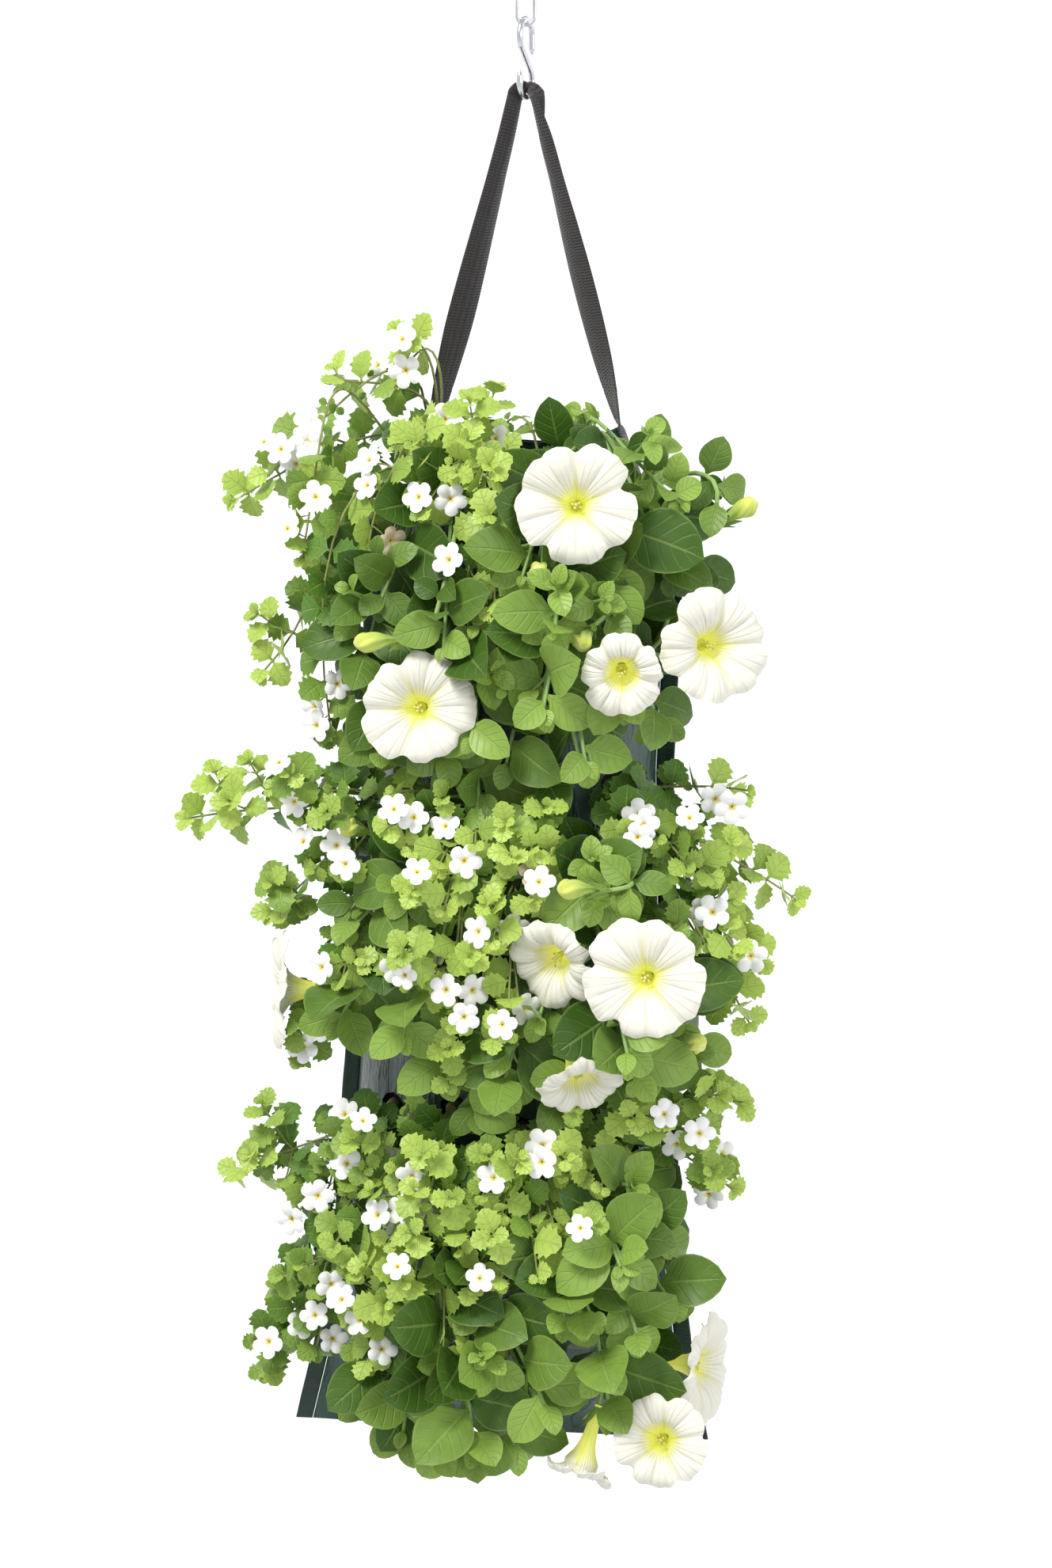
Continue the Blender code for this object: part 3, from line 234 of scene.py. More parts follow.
class Finish:
    """A Principled material that is put together node by node."""

    def __init__(self, name, **constants):
        self.material = bpy.data.materials.new(name)
        self.material.use_nodes = True
        self.tree = self.material.node_tree
        self.shader = self.tree.nodes["Principled BSDF"]
        for key, value in constants.items():
            self.shader.inputs[key.replace("_", " ")].default_value = value

    def node(self, kind, settings, values, out=0):
        made = self.tree.nodes.new("ShaderNode" + kind)
        for key, value in settings.items():
            setattr(made, key, value)
        for key, value in values.items():
            if isinstance(value, Sum):
                self.tree.links.new(value.socket, made.inputs[key])
            else:
                made.inputs[key].default_value = value
        return Sum(self, made.outputs[out])

    def mix(self, factor, first, second):
        """Blends two colours, each a triple or a Sum."""
        first, second = (c if isinstance(c, Sum) else (*c, 1.0) for c in (first, second))
        return self.node("Mix", {"data_type": "RGBA"}, {0: factor, 6: first, 7: second}, 2)

    def noise(self, place, scale, detail=2.0, stretch=(1.0, 1.0, 1.0)):
        moved = self.node("Mapping", {}, {"Vector": place, "Scale": stretch})
        return self.node("TexNoise", {}, {"Vector": moved, "Scale": scale, "Detail": detail})

    def here(self):
        return self.node("TexCoord", {}, {}, 3)

    def across_along(self):
        """The two coordinates of the piece's own map."""
        spot = self.node("UVMap", {"uv_map": "UVMap"}, {})
        return [self.node("SeparateXYZ", {}, {0: spot}, k) for k in range(2)]

    def tint(self):
        """How young a leaf is, lowered as painted shade deep in the foliage and raised as painted light
        outside it, how much it is an underside, and its own chance number.
        """
        spot = self.node("Attribute", {"attribute_name": "tint"}, {})
        return [self.node("SeparateColor", {}, {0: spot}, k) for k in range(3)]

    def paint(self, **sums):
        """Feeds the shader's varying sockets."""
        for key, value in sums.items():
            self.tree.links.new(value.socket, self.shader.inputs[key.replace("_", " ")])
        return self.material

    def bump(self, height, distance, strength=1.0):
        return self.node("Bump", {}, {"Height": height, "Distance": distance, "Strength": strength})


# ------------------------------------------------------------------ finishes
def zinc():
    f = Finish("zinc_finish", Metallic=1.0)
    place = f.here()
    cloud = f.noise(place, 260.0, 3.0)
    scratch = f.noise(place, 900.0, 2.0, (1.0, 1.0, 0.15))
    return f.paint(Base_Color=f.mix(cloud, (0.62, 0.64, 0.66), (0.90, 0.91, 0.93)),
                   Roughness=cloud * 0.22 + 0.12,
                   Normal=f.bump(cloud + scratch * 0.4, 0.00012))


def webbing(colours):
    """Ribs across the strap, and woven columns along it. The map is in millimetres."""
    f = Finish("webbing_finish", Sheen_Weight=0.35, Sheen_Roughness=0.5, Specular_IOR_Level=0.35)
    across, along = f.across_along()
    rib = (along * (ROUND / 1.7)).wave()
    column = (across * (ROUND / 2.1)).wave()
    weave = rib * 0.7 + rib * column * 0.5
    dust = f.noise(f.here(), 120.0, 4.0)
    dark = tuple(colours.strap)
    light = tuple(min(1.0, c * 2.6) for c in dark)
    return f.paint(Base_Color=f.mix((weave * 0.55 + dust * 0.9).between(0.1, 1.25), dark, light),
                   Roughness=dust * 0.15 + 0.62,
                   Normal=f.bump(weave, 0.00042))


def woven_cloth(colours):
    """Laminated woven tape cloth: glossy, with a fine check and soft crinkles."""
    f = Finish("bag_finish", Specular_IOR_Level=0.55, Coat_Roughness=0.12)
    across, along = f.across_along()
    place = f.here()
    warp, weft = (across * (ROUND / 1.5)).wave(), (along * (ROUND / 1.5)).wave()
    check = (warp * weft).between(-0.6, 0.6)
    crinkle = f.noise(place, 34.0, 5.0, (1.0, 1.0, 0.35))
    crease = (f.noise(place, 75.0, 3.0, (1.0, 1.0, 0.25)) - 0.5).size()
    worn = f.noise(place, 14.0, 4.0)
    dark = tuple(colours.bag)
    light = tuple(c * 2.4 + 0.012 for c in dark)
    tone = (check * 0.22 + worn * 0.55 + crinkle * 0.25).between(0.30, 0.85)
    height = check * 0.04 + crinkle * 1.5 - crease.between(0.0, 0.05) * 0.35
    return f.paint(Base_Color=f.mix(tone, dark, light), Roughness=worn * 0.22 + check * 0.06 + 0.20,
                   Coat_Weight=worn.between(0.3, 0.7) * 0.45,
                   Normal=f.bump(height, 0.0034, 0.9))


def tape(colours):
    f = Finish("tape_finish", Specular_IOR_Level=0.5)
    rib = (f.across_along()[1] * (ROUND / 1.2)).wave()
    worn = f.noise(f.here(), 60.0, 4.0)
    dark, pale = (tuple(c * part for c in colours.bag) for part in (0.45, 1.3))
    return f.paint(Base_Color=f.mix((worn + rib * 0.08).between(0.3, 0.9), dark, pale),
                   Roughness=worn * 0.25 + 0.28, Normal=f.bump(rib * 0.2 + worn, 0.0003))


def compost(colours):
    f = Finish("compost_finish")
    place = f.here()
    lump, grit = f.noise(place, 130.0, 6.0), f.noise(place, 420.0, 3.0)
    fibre = f.noise(place, 260.0, 2.0, (1.0, 0.2, 1.0))
    dark = tuple(colours.compost)
    tone = f.mix(lump.between(0.35, 0.7), dark, tuple(c * 3.2 for c in dark))
    tone = f.mix(fibre.between(0.66, 0.74), tone, (0.16, 0.10, 0.055))
    return f.paint(Base_Color=tone, Roughness=grit * 0.12 + 0.84,
                   Normal=f.bump(lump + grit * 0.5, 0.0016))


def leaf_green(name, young, old, pale, veins, gloss):
    """A leaf: pale rib and side veins, a pale rim, brighter when young, duller below. A faint emission
    on young and outer leaves is painted light, and the dark old colour deep in the foliage is painted
    shade.
    """
    f = Finish(name, Specular_IOR_Level=0.30, Emission_Strength=0.16)
    across, along = f.across_along()
    age, under, chance = f.tint()
    off = (across - 0.5).size() * 2.0
    rib = 1.0 - off.between(0.015, 0.085)
    side_veins = ((along * veins - off * 1.9 * (veins / 7.0)).part() - 0.5).size()
    side_veins = ((1.0 - side_veins.between(0.02, 0.12)) * off.between(0.02, 0.10)
                  * (1.0 - off.between(0.75, 0.98)))
    rim = off.between(0.90, 1.0)
    mottle = f.noise(f.here(), 95.0, 3.0)
    # The mix toward the old colour also paints the shade deep in the foliage.
    ripeness_and_shade = (age + (chance - 0.5) * 0.34 + (mottle - 0.5) * 0.30).between(0.0, 1.0)
    tone = f.mix(ripeness_and_shade, old, young)
    tone = f.mix(rib * 0.30 + side_veins * 0.10, tone, pale)
    tone = f.mix(rim * 0.30, tone, pale)
    tone = f.mix(under * 0.42, tone, tuple(c * 0.85 + 0.03 for c in pale))
    height = mottle * 0.5 - rib * 0.8 - side_veins * 0.45
    # The emission colour is a painted glow, strongest on young leaves out in the open.
    return f.paint(Base_Color=tone, Roughness=mottle * 0.14 + gloss - age * 0.05,
                   Normal=f.bump(height, 0.0006), Emission_Color=f.mix(age, (0.0, 0.0, 0.0), tone))


def stem_green(name, light, dark):
    f = Finish(name, Specular_IOR_Level=0.35, Sheen_Weight=0.3, Sheen_Roughness=0.3)
    streak = f.noise(f.here(), 320.0, 3.0, (1.0, 1.0, 0.3))
    age = f.tint()[0]
    return f.paint(Base_Color=f.mix((streak * 0.6 + age * 0.6).between(0.1, 0.9), dark, light),
                   Roughness=streak * 0.15 + 0.5, Normal=f.bump(streak, 0.0003))


def petal(colours):
    """Petunia limb: cream white, a yellow-green throat, and fine veins that run out from it. The throat
    glows with an emission, painted light in the funnel.
    """
    f = Finish("petunia_petal_finish", Specular_IOR_Level=0.25, Sheen_Weight=0.15, Sheen_Roughness=0.35,
               Emission_Strength=0.9)
    turn, out = f.across_along()
    main = 1.0 - (((turn * 5.0 + 0.5).part() - 0.5).size()).between(0.0, 0.085)
    fine = 1.0 - (((turn * 35.0).part() - 0.5).size()).between(0.03, 0.22)
    fan = (1.0 - (((turn * 5.0 + 0.5).part() - 0.5).size()).between(0.02, 0.30))
    mottle = f.noise(f.here(), 120.0, 4.0)
    throat = 1.0 - (out + (mottle - 0.5) * 0.06).between(0.34, 0.64)
    streaks = (1.0 - out.between(0.46, 0.90)) * (main * 0.9 + fine * fan * 0.75)
    white = f.mix(mottle.between(0.2, 0.8), tuple(colours.petal),
                  tuple(c * 0.95 for c in colours.petal))
    white = f.mix((main * 0.22 + fine * 0.10) * out.between(0.5, 0.75), white, (0.80, 0.78, 0.60))
    tone = f.mix((streaks * 0.75).between(0.0, 1.0), white, tuple(colours.throat))
    tone = f.mix(throat * (fan * 0.35 + 0.65), tone, tuple(colours.throat))
    deep = 1.0 - out.between(0.20, 0.46)
    tone = f.mix(deep * 0.6, tone, (0.60, 0.68, 0.16))
    # Painted light: an emission makes the throat glow.
    painted_throat_glow = f.mix(1.0 - out.between(0.26, 0.56), (0.0, 0.0, 0.0), (0.41, 0.415, 0.055))
    height = mottle * 0.35 - main * 0.8 - fine * 0.35
    return f.paint(Base_Color=tone, Roughness=mottle * 0.12 + 0.52, Normal=f.bump(height, 0.0007),
                   Emission_Color=painted_throat_glow)


def small_petal():
    """Bacopa flower: white lobes round a yellow-orange eye."""
    f = Finish("bacopa_petal_finish", Specular_IOR_Level=0.3, Sheen_Weight=0.1)
    out, chance = f.across_along()[1], f.tint()[2]
    mottle = f.noise(f.here(), 400.0, 2.0)
    white = f.mix(mottle, (0.86, 0.86, 0.84), (0.97, 0.97, 0.95))
    faded = f.mix(mottle, (0.62, 0.48, 0.30), (0.80, 0.70, 0.52))
    tone = f.mix(chance.between(0.975, 0.985), white, faded)
    tone = f.mix((1.0 - out.between(0.10, 0.30)) * 0.9, tone, (0.72, 0.60, 0.08))
    tone = f.mix(1.0 - out.between(0.03, 0.09), tone, (0.26, 0.20, 0.02))
    return f.paint(Base_Color=tone, Roughness=mottle * 0.1 + 0.5)


def bud_skin(colours):
    f = Finish("bud_finish", Specular_IOR_Level=0.3, Sheen_Weight=0.2)
    turn, out = f.across_along()
    mottle = f.noise(f.here(), 300.0, 3.0)
    pleat = ((turn * 5.0).part() - 0.5).size() * 2.0
    tone = f.mix(out.between(0.15, 0.75), (0.28, 0.44, 0.08), tuple(c * 0.95 for c in colours.bud))
    tone = f.mix(pleat.between(0.55, 1.0) * 0.6, tone, (0.40, 0.55, 0.10))
    tone = f.mix(out.between(0.82, 1.0) * 0.5, tone, (0.86, 0.84, 0.48))
    return f.paint(Base_Color=tone, Roughness=mottle * 0.15 + 0.45,
                   Normal=f.bump(mottle - pleat * 0.5, 0.0004))


def pollen():
    f = Finish("pollen_finish")
    grain = f.noise(f.here(), 1500.0, 2.0)
    return f.paint(Base_Color=f.mix(grain, (0.56, 0.54, 0.10), (0.78, 0.76, 0.28)),
                   Roughness=grain * 0.2 + 0.6)


# ------------------------------------------------------------------ modelling by hand
def deselect():
    if bpy.context.object and bpy.context.object.mode != "OBJECT":
        bpy.ops.object.mode_set(mode="OBJECT")
    bpy.ops.object.select_all(action="DESELECT")


def new_grid(name, across, along):
    """A flat grid, 1 wide and 1 long, alone in the selection."""
    deselect()
    bpy.ops.mesh.primitive_grid_add(x_subdivisions=across, y_subdivisions=along, size=1.0)
    thing = bpy.context.object
    thing.name = thing.data.name = name
    return thing


def grid_piece(name, across, along, shape, finish=None, thick=0.0):
    """Takes each point of a grid to shape(u, v), and closes the seam."""
    thing = new_grid(name, across, along)
    bpy.ops.object.mode_set(mode="EDIT")
    body = bmesh.from_edit_mesh(thing.data)
    for vert in body.verts:
        vert.co = shape(vert.co.x + 0.5, vert.co.y + 0.5)
    bmesh.update_edit_mesh(thing.data)
    bpy.ops.mesh.select_all(action="SELECT")
    bpy.ops.mesh.remove_doubles(threshold=0.000005)
    bpy.ops.mesh.select_all(action="DESELECT")
    bpy.ops.mesh.select_non_manifold(extend=False)
    if not thick:
        bpy.ops.mesh.fill_holes(sides=0)
    bpy.ops.mesh.select_all(action="SELECT")
    bpy.ops.mesh.normals_make_consistent(inside=False)
    bpy.ops.object.mode_set(mode="OBJECT")
    if thick:
        change = thing.modifiers.new("thickness", "SOLIDIFY")
        change.thickness, change.offset = thick, 0.0
        bpy.ops.object.modifier_apply(modifier=change.name)
    bpy.ops.object.shade_smooth_by_angle(angle=radians(50))
    if finish:
        thing.data.materials.append(finish)
    return thing


def open_sheet(name, across, along, shape, finish):
    """An open sheet, such as the studio's floor."""
    thing = new_grid(name, across, along)
    for vert in thing.data.vertices:
        vert.co = shape(vert.co.x + 0.5, vert.co.y + 0.5)
    bpy.ops.object.shade_smooth()
    thing.data.materials.append(finish)
    return thing


def scale_map(thing, wide, long):
    """Gives the piece's map a real size, in millimetres."""
    for corner in thing.data.uv_layers["UVMap"].data:
        corner.uv = (corner.uv.x * wide, corner.uv.y * long)


def stand_in(thing, slot, *nodes):
    """The piece rides on the frame and takes the place of its plain nodes."""
    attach(thing, "root")
    if nodes:
        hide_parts(*nodes)
    return thing


def join(things, name):
    deselect()
    for thing in things:
        thing.select_set(True)
    bpy.context.view_layer.objects.active = things[0]
    bpy.ops.object.join()
    things[0].name = things[0].data.name = name
    return things[0]


# ------------------------------------------------------------------ lines and sizes
def ease(stations, z):
    above = stations[0]
    if z >= above[0]:
        return above[1]
    for below in stations[1:]:
        if z >= below[0]:
            return above[1] + (below[1] - above[1]) * (above[0] - z) / (above[0] - below[0])
        above = below
    return above[1]


def flow(points, part):
    """A place along a smooth line through the points, which may be numbers or vectors."""
    spot = min(max(part, 0.0), 1.0) * (len(points) - 1)
    k = min(int(spot), len(points) - 2)
    t = spot - k
    p1, p2 = points[k], points[k + 1]
    p0 = points[k - 1] if k else p1 * 2 - p2
    p3 = points[k + 2] if k + 2 < len(points) else p2 * 2 - p1
    return (p1 * 2 + (p2 - p0) * t + (p0 * 2 - p1 * 5 + p2 * 4 - p3) * t * t
            + (p1 * 3 - p0 - p2 * 3 + p3) * t ** 3) * 0.5


def across_of(direction):
    lean = Vector((0, 0, 1)) if abs(direction.z) < 0.9 else Vector((0, 1, 0))
    side = direction.cross(lean).normalized()
    return side, side.cross(direction).normalized()


def bezier(a, b, c, d, t):
    s = 1 - t
    return a * s ** 3 + b * 3 * s * s * t + c * 3 * s * t * t + d * t ** 3


def metres(sizes):
    """A table's millimetres in metres."""
    return tuple(size / 1000 for size in sizes)


def spoke(side, up, turn):
    """The direction at a turn between two square directions."""
    return side * cos(turn) + up * sin(turn)


def carried(side, along):
    """The last cross direction, kept square to a line that bends."""
    return across_of(along)[0] if side is None else (side - along * side.dot(along)).normalized()


def course(line, part, near):
    """The way a smooth line runs at a part of it."""
    return (flow(line, min(1, part + near)) - flow(line, max(0, part - near))).normalized()


def distances(points):
    """How far along its line each point lies."""
    steps = [0.0]
    for a, b in zip(points, points[1:]):
        steps.append(steps[-1] + (b - a).length)
    return steps


def share(steps, far):
    """The part of a line, counted in points, that lies a distance along it."""
    k = max(i for i in range(len(steps) - 1) if steps[i] <= far + 1e-9)
    return (k + (far - steps[k]) / max(steps[k + 1] - steps[k], 1e-6)) / (len(steps) - 1)


def bag_middle(z):
    return BAG_LEAN * min(1.0, max(0.0, (BAG_TOP - z) / (BAG_TOP - BAG_FOOT)))


def rim_height(turn):
    return BAG_TOP - (FRONT_DIP if sin(turn) > 0 else BACK_DIP) * sin(turn) ** 2


def wavy_rim(turn):
    """The rim's height with its small waves."""
    return rim_height(turn) + 0.0012 * noise.noise(Vector((cos(turn) * 3, sin(turn) * 3, 5)))


def skin(x, z):
    """The bag's front skin at (x, z)."""
    out = min(1.0, abs(x - bag_middle(z)) / ease(BAG_HALF_WIDTH, z))
    return -ease(BAG_HALF_DEPTH, z) * (1 - out * out) ** 0.575


# ------------------------------------------------------------------ hook, link and strap
HOOK_TOP = -LINK_INSIDE + GAP + 2 * HOOK_WIRE
UPPER = HOOK_TOP - HOOK_WIRE - HOOK_BEND
LOWER = HOOK_TOP - HOOK_TALL + HOOK_WIRE + HOOK_BEND
HOOK_WAY = Vector((sin(HOOK_TURN), cos(HOOK_TURN), 0))


def wire(name, line, radius, finish, closed):
    """Round wire along a line. Open ends are rounded off."""
    side = Vector((0, 1, 0)) if closed else Vector((HOOK_WAY.y, -HOOK_WAY.x, 0))

    def shape(u, v):
        here = line(v)
        step = (line(min(v + 0.002, 1.0)) - line(max(v - 0.002, 0.0))).normalized()
        other = step.cross(side).normalized()
        size = radius
        if not closed:
            end = min(v, 1 - v) * WIRE_RINGS
            size *= (0.02, 0.72, 1.0)[min(2, int(round(end)))]
        turn = ROUND * u
        return here + spoke(side, other, turn) * size
    return grid_piece(name, WIRE_SIDES, WIRE_RINGS, shape, finish)


def link_line(v):
    straight = LINK_INSIDE + 2 * LINK_WIRE - 2 * LINK_BEND
    bend = pi * LINK_BEND
    far = (v % 1.0) * 2 * (straight + bend)
    top = LINK_WIRE - LINK_BEND
    if far < bend:
        turn = far / LINK_BEND
        return Vector((LINK_BEND * cos(turn), 0, top + LINK_BEND * sin(turn)))
    if far < bend + straight:
        return Vector((-LINK_BEND, 0, top - (far - bend)))
    if far < 2 * bend + straight:
        turn = pi + (far - bend - straight) / LINK_BEND
        return Vector((LINK_BEND * cos(turn), 0, top - straight + LINK_BEND * sin(turn)))
    return Vector((LINK_BEND, 0, top - straight + (far - 2 * bend - straight)))


def hook_points():
    def at(out, height):
        return HOOK_WAY * out + Vector((0, 0, height))
    lean = acos(2 * HOOK_BEND / (UPPER - LOWER))
    points = [at(HOOK_BEND, UPPER - HOOK_MOUTH), at(HOOK_BEND, UPPER - HOOK_MOUTH / 2)]
    for k in range(25):
        turn = (pi * 1.5 - lean) * k / 24
        points.append(at(HOOK_BEND * cos(turn), UPPER + HOOK_BEND * sin(turn)))
    for k in range(25):
        turn = pi / 2 - lean - (pi * 1.5 - lean) * k / 24
        points.append(at(HOOK_BEND * cos(turn), LOWER + HOOK_BEND * sin(turn)))
    points.append(at(-HOOK_BEND, LOWER + HOOK_TIP))
    return points


def bag_edge(side, z):
    return bag_middle(z) + side * ease(BAG_HALF_WIDTH, z)


def strap_stations():
    """The strap's middle line: place, outward side, turn of its width, curl across it."""
    bend = HOOK_WIRE + 0.0005 + STRAP_THICK / 2
    apex = Vector((0, 0, HOOK_TOP - HOOK_TALL + HOOK_WIRE))
    legs = []
    for side in (-1, 1):
        leg = []
        wide = ease(BAG_HALF_WIDTH, BAG_TOP) + STRAP_THICK / 2 + GAP
        corner = Vector((side * wide, 0, BAG_TOP))
        start = apex + Vector((side * bend, 0, -0.004))
        down = (corner - start).normalized()
        outward = Vector((down.z * -side, 0, down.x * side)).normalized()
        turns = (20, 26, 34, 42, 44, 30, 12) if side < 0 else (24, 34, 44, 50, 48, 38, 16)
        curls = (60, 42, 34, 26, 16, 4, -8)
        for k in range(7):
            spot = start + (corner - start) * (0.10 + 0.87 * k / 6)
            leg.append((spot, outward, turns[k] * -side, curls[k]))
        for k in range(4):
            z = BAG_TOP - STRAP_LAP * k / 3
            wide = bag_edge(side, z) + side * (STRAP_THICK / 2 + 3 * GAP)
            leg.append((Vector((wide, 0, z)), Vector((side, 0, 0.4)).normalized(), 0, -8))
        legs.append(leg)
    bow = []
    for k in range(-3, 4):
        turn = radians(27) * k
        bow.append((apex + Vector((bend * sin(turn), 0, bend * cos(turn))),
                    Vector((sin(turn), 0, cos(turn))), 12, 89 - 7 * abs(k)))
    return list(reversed(legs[0])) + bow + legs[1]


def strap_piece(width, finish):
    stations = strap_stations()
    lengths = distances([row[0] for row in stations])
    total = lengths[-1]
    columns = [[row[k] for row in stations] for k in range(4)]
    ribs = 320

    def shape(u, v):
        part = share(lengths, v * total)
        point, outward, turn, curl = (flow(column, part) for column in columns)
        wide = Vector((sin(radians(turn)), cos(radians(turn)), 0))
        normal = (outward - wide * outward.dot(wide)).normalized()
        # Round the cross-section: out along one face, back along the other
        turned = ROUND * u
        flat = copysign(abs(cos(turned)) ** 0.7, cos(turned))
        lift = copysign(min(1.0, abs(sin(turned)) * 2.2), sin(turned))
        bend = radians(curl if abs(curl) > 1 else 1)
        radius = width / 2 / bend
        angle = bend * flat
        spot = point + wide * radius * sin(angle) + normal * radius * (1 - cos(angle))
        facing = normal * cos(angle) - wide * sin(angle)
        rib = 0.00010 * cos(pi * round(v * 2 * ribs))
        return spot + facing * lift * (STRAP_THICK / 2 - 0.0001 + rib)
    thing = grid_piece("strap_webbing", 24, 2 * ribs, shape, finish)
    scale_map(thing, 2 * width * 1000, total * 1000)
    return thing


# ------------------------------------------------------------------ bag
def bag_skin(turn, z, inset, deep_crumple):
    """A point of the crumpled bag. Turn 0 is the right side, a quarter is the front."""
    wide = max(ease(BAG_HALF_WIDTH, z) - inset, 0.0004)
    deep = max(ease(BAG_HALF_DEPTH, z) - inset, 0.0004)
    swell = sin(turn)
    ahead = -deep * copysign(abs(swell) ** 1.15, swell)
    spot = Vector((bag_middle(z) + wide * cos(turn), ahead, z))
    low = max(0.0, min(1.0, (z - BAG_FOOT) / 0.05)) * min(1.0, (abs(swell) * 3.0))
    fold = noise.noise(Vector((spot.x * 22, spot.y * 22 + 4, z * 5))) * 0.0024
    fold += noise.noise(Vector((spot.x * 60, spot.y * 60, z * 17 + 9))) * 0.0009
    ridge = 1 - abs(noise.noise(Vector((spot.x * 30 + 7, spot.y * 30, z * 24)))) * 2
    fold += max(0.0, ridge - 0.6) * 0.0022
    away = Vector((cos(turn) / wide, -swell / max(deep, 0.01), 0)).normalized()
    return spot + away * (fold - 0.0004) * low * deep_crumple


def bag_piece(finish, crumple):
    floor, foot = POCKET_FLOOR, BAG_FOOT
    rows = []                   # inset, part of the height, whether on the inner wall
    inner = 46
    for k in range(inner + 1):
        rows.append((WALL, k / inner, True))
    rows.append((WALL / 2, 1.0, True))
    outer = 60
    for k in range(outer + 1):
        rows.append((0.0, k / outer, False))
    count = len(rows) - 1

    def shape(u, v):
        turn = ROUND * u
        inset, part, inside = rows[int(round(v * count))]
        top = wavy_rim(turn)
        if inside:
            z = floor + (top - floor) * part
            if inset != WALL:
                z += 0.0005
        else:
            z = top + (foot - top) * part ** 0.97
        return bag_skin(turn, z, inset, crumple)
    thing = grid_piece("bag_cloth", 128, count, shape, finish)
    scale_map(thing, 400.0, 1100.0)
    return thing


def cut_slits(thing):
    """Cuts a planting slit where each neck in front comes out."""
    tools = bpy.data.collections.new("slit_tools")
    made = []
    for place, *spot in NECKS.values():
        if place != "front":
            continue
        x, z = metres(spot)
        deselect()
        bpy.ops.mesh.primitive_cylinder_add(vertices=10, radius=SLIT * 0.94, depth=0.05,
                                            location=(x, skin(x, z), z), rotation=(pi / 2, 0, 0))
        bpy.ops.object.transform_apply(location=True, rotation=True, scale=True)
        cutter = bpy.context.object
        bpy.context.collection.objects.unlink(cutter)
        tools.objects.link(cutter)
        made.append(cutter)
    deselect()
    bpy.context.view_layer.objects.active = thing
    thing.select_set(True)
    change = thing.modifiers.new("slits", "BOOLEAN")
    change.operation, change.operand_type, change.collection = "DIFFERENCE", "COLLECTION", tools
    change.solver = "EXACT"
    bpy.ops.object.modifier_apply(modifier=change.name)
    for cutter in made:
        bpy.data.objects.remove(cutter)
    bpy.data.collections.remove(tools)


def hem_piece(finish):
    """The folded hem along the rim, a band that stands a little off the cloth."""
    def shape(u, v):
        turn = ROUND * u
        top = wavy_rim(turn)
        around = ROUND * v
        deep = 0.5 - 0.5 * cos(around)             # 0 at the rim, 1 at the hem's lower edge
        z = top + 0.0012 - deep * (0.015 + 0.0012 * sin(turn * 9))
        out = 0.0006 + 0.0008 * sin(around)
        puff = 0.0006 * noise.noise(Vector((cos(turn) * 9, sin(turn) * 9, z * 40)))
        spot = bag_skin(turn, z, 0.0, 1.0)
        away = Vector((cos(turn), -sin(turn), 0))
        return spot + away * (0.0011 + out + puff)
    thing = grid_piece("rim_hem", 160, 10, shape, finish)
    scale_map(thing, 400.0, 30.0)
    return thing


def seam_piece(side, finish):
    """Bound side seam: a flat tape folded over the two walls' edges."""
    name = "side_tape_left" if side < 0 else "side_tape_right"

    def shape(u, v):
        z = SEAM_TOP + (BAG_FOOT - SEAM_TOP) * v
        around = ROUND * u
        part = 0.5 - 0.5 * cos(around)
        wide = SEAM_WIDE * (1.0 + 0.05 * noise.noise(Vector((side, 3, z * 40))))
        x = bag_edge(side, z) + side * (GAP + wide * part)
        sway = 0.0016 * part * noise.noise(Vector((side * 5, 1, z * 22)))
        thick = SEAM_THICK / 2 * (0.75 + 0.7 * part ** 3)
        y = sway + thick * copysign(min(1.0, abs(sin(around)) * 1.8), sin(around))
        return Vector((x, y, z))
    thing = grid_piece(name, 16, 150, shape, finish)
    scale_map(thing, 22.0, 574.0)
    return thing


# ------------------------------------------------------------------ patterns and bunches
class Pattern:
    """A shape that is modelled once, and kept as numbers to be copied bent."""

    def __init__(self, thing):
        mesh = thing.data
        self.points = np.empty(len(mesh.vertices) * 3)
        mesh.vertices.foreach_get("co", self.points)
        self.points = self.points.reshape(-1, 3)
        self.corners = np.empty(len(mesh.loops), int)
        mesh.loops.foreach_get("vertex_index", self.corners)
        self.starts = np.empty(len(mesh.polygons), int)
        mesh.polygons.foreach_get("loop_start", self.starts)
        self.map = np.empty(len(mesh.loops) * 2)
        mesh.uv_layers["UVMap"].data.foreach_get("uv", self.map)
        self.map = self.map.reshape(-1, 2)
        self.under = (self.points[:, 2] < -0.25).astype(float)
        bpy.data.objects.remove(thing)


patterns = {}


def pattern(name):
    if name not in patterns:
        patterns[name] = Pattern(PATTERN_MAKERS[name]())
    return patterns[name]


def blade_pattern(name, across, along, half):
    """A flat leaf, 1 long and 1 wide at most, closed as a lens of two skins."""
    thing = new_grid(name, across, along)
    bpy.ops.object.mode_set(mode="EDIT")
    bpy.ops.mesh.select_all(action="SELECT")
    bpy.ops.mesh.duplicate()
    bpy.ops.mesh.flip_normals()
    body = bmesh.from_edit_mesh(thing.data)
    for vert in body.verts:
        u, t = vert.co.x * 2, vert.co.y + 0.5
        row = int(round(t * along))
        edge = abs(abs(u) - 1) < 1e-4 or row in (0, along)
        skin_side = -1.0 if vert.select else 1.0
        vert.co = (u * half(t, row if abs(abs(u) - 1) < 1e-4 else 1), t, 0.0 if edge else skin_side)
    bmesh.update_edit_mesh(thing.data)
    bpy.ops.mesh.select_all(action="SELECT")
    bpy.ops.mesh.remove_doubles(threshold=0.0001)
    bpy.ops.object.mode_set(mode="OBJECT")
    return thing


def petunia_outline(t, row):
    part = max(0.0, (t - 0.10) / 0.90)
    return 0.045 * (1 - part) + 0.5 * max(0.0, sin(pi * part ** 0.86)) ** 0.64


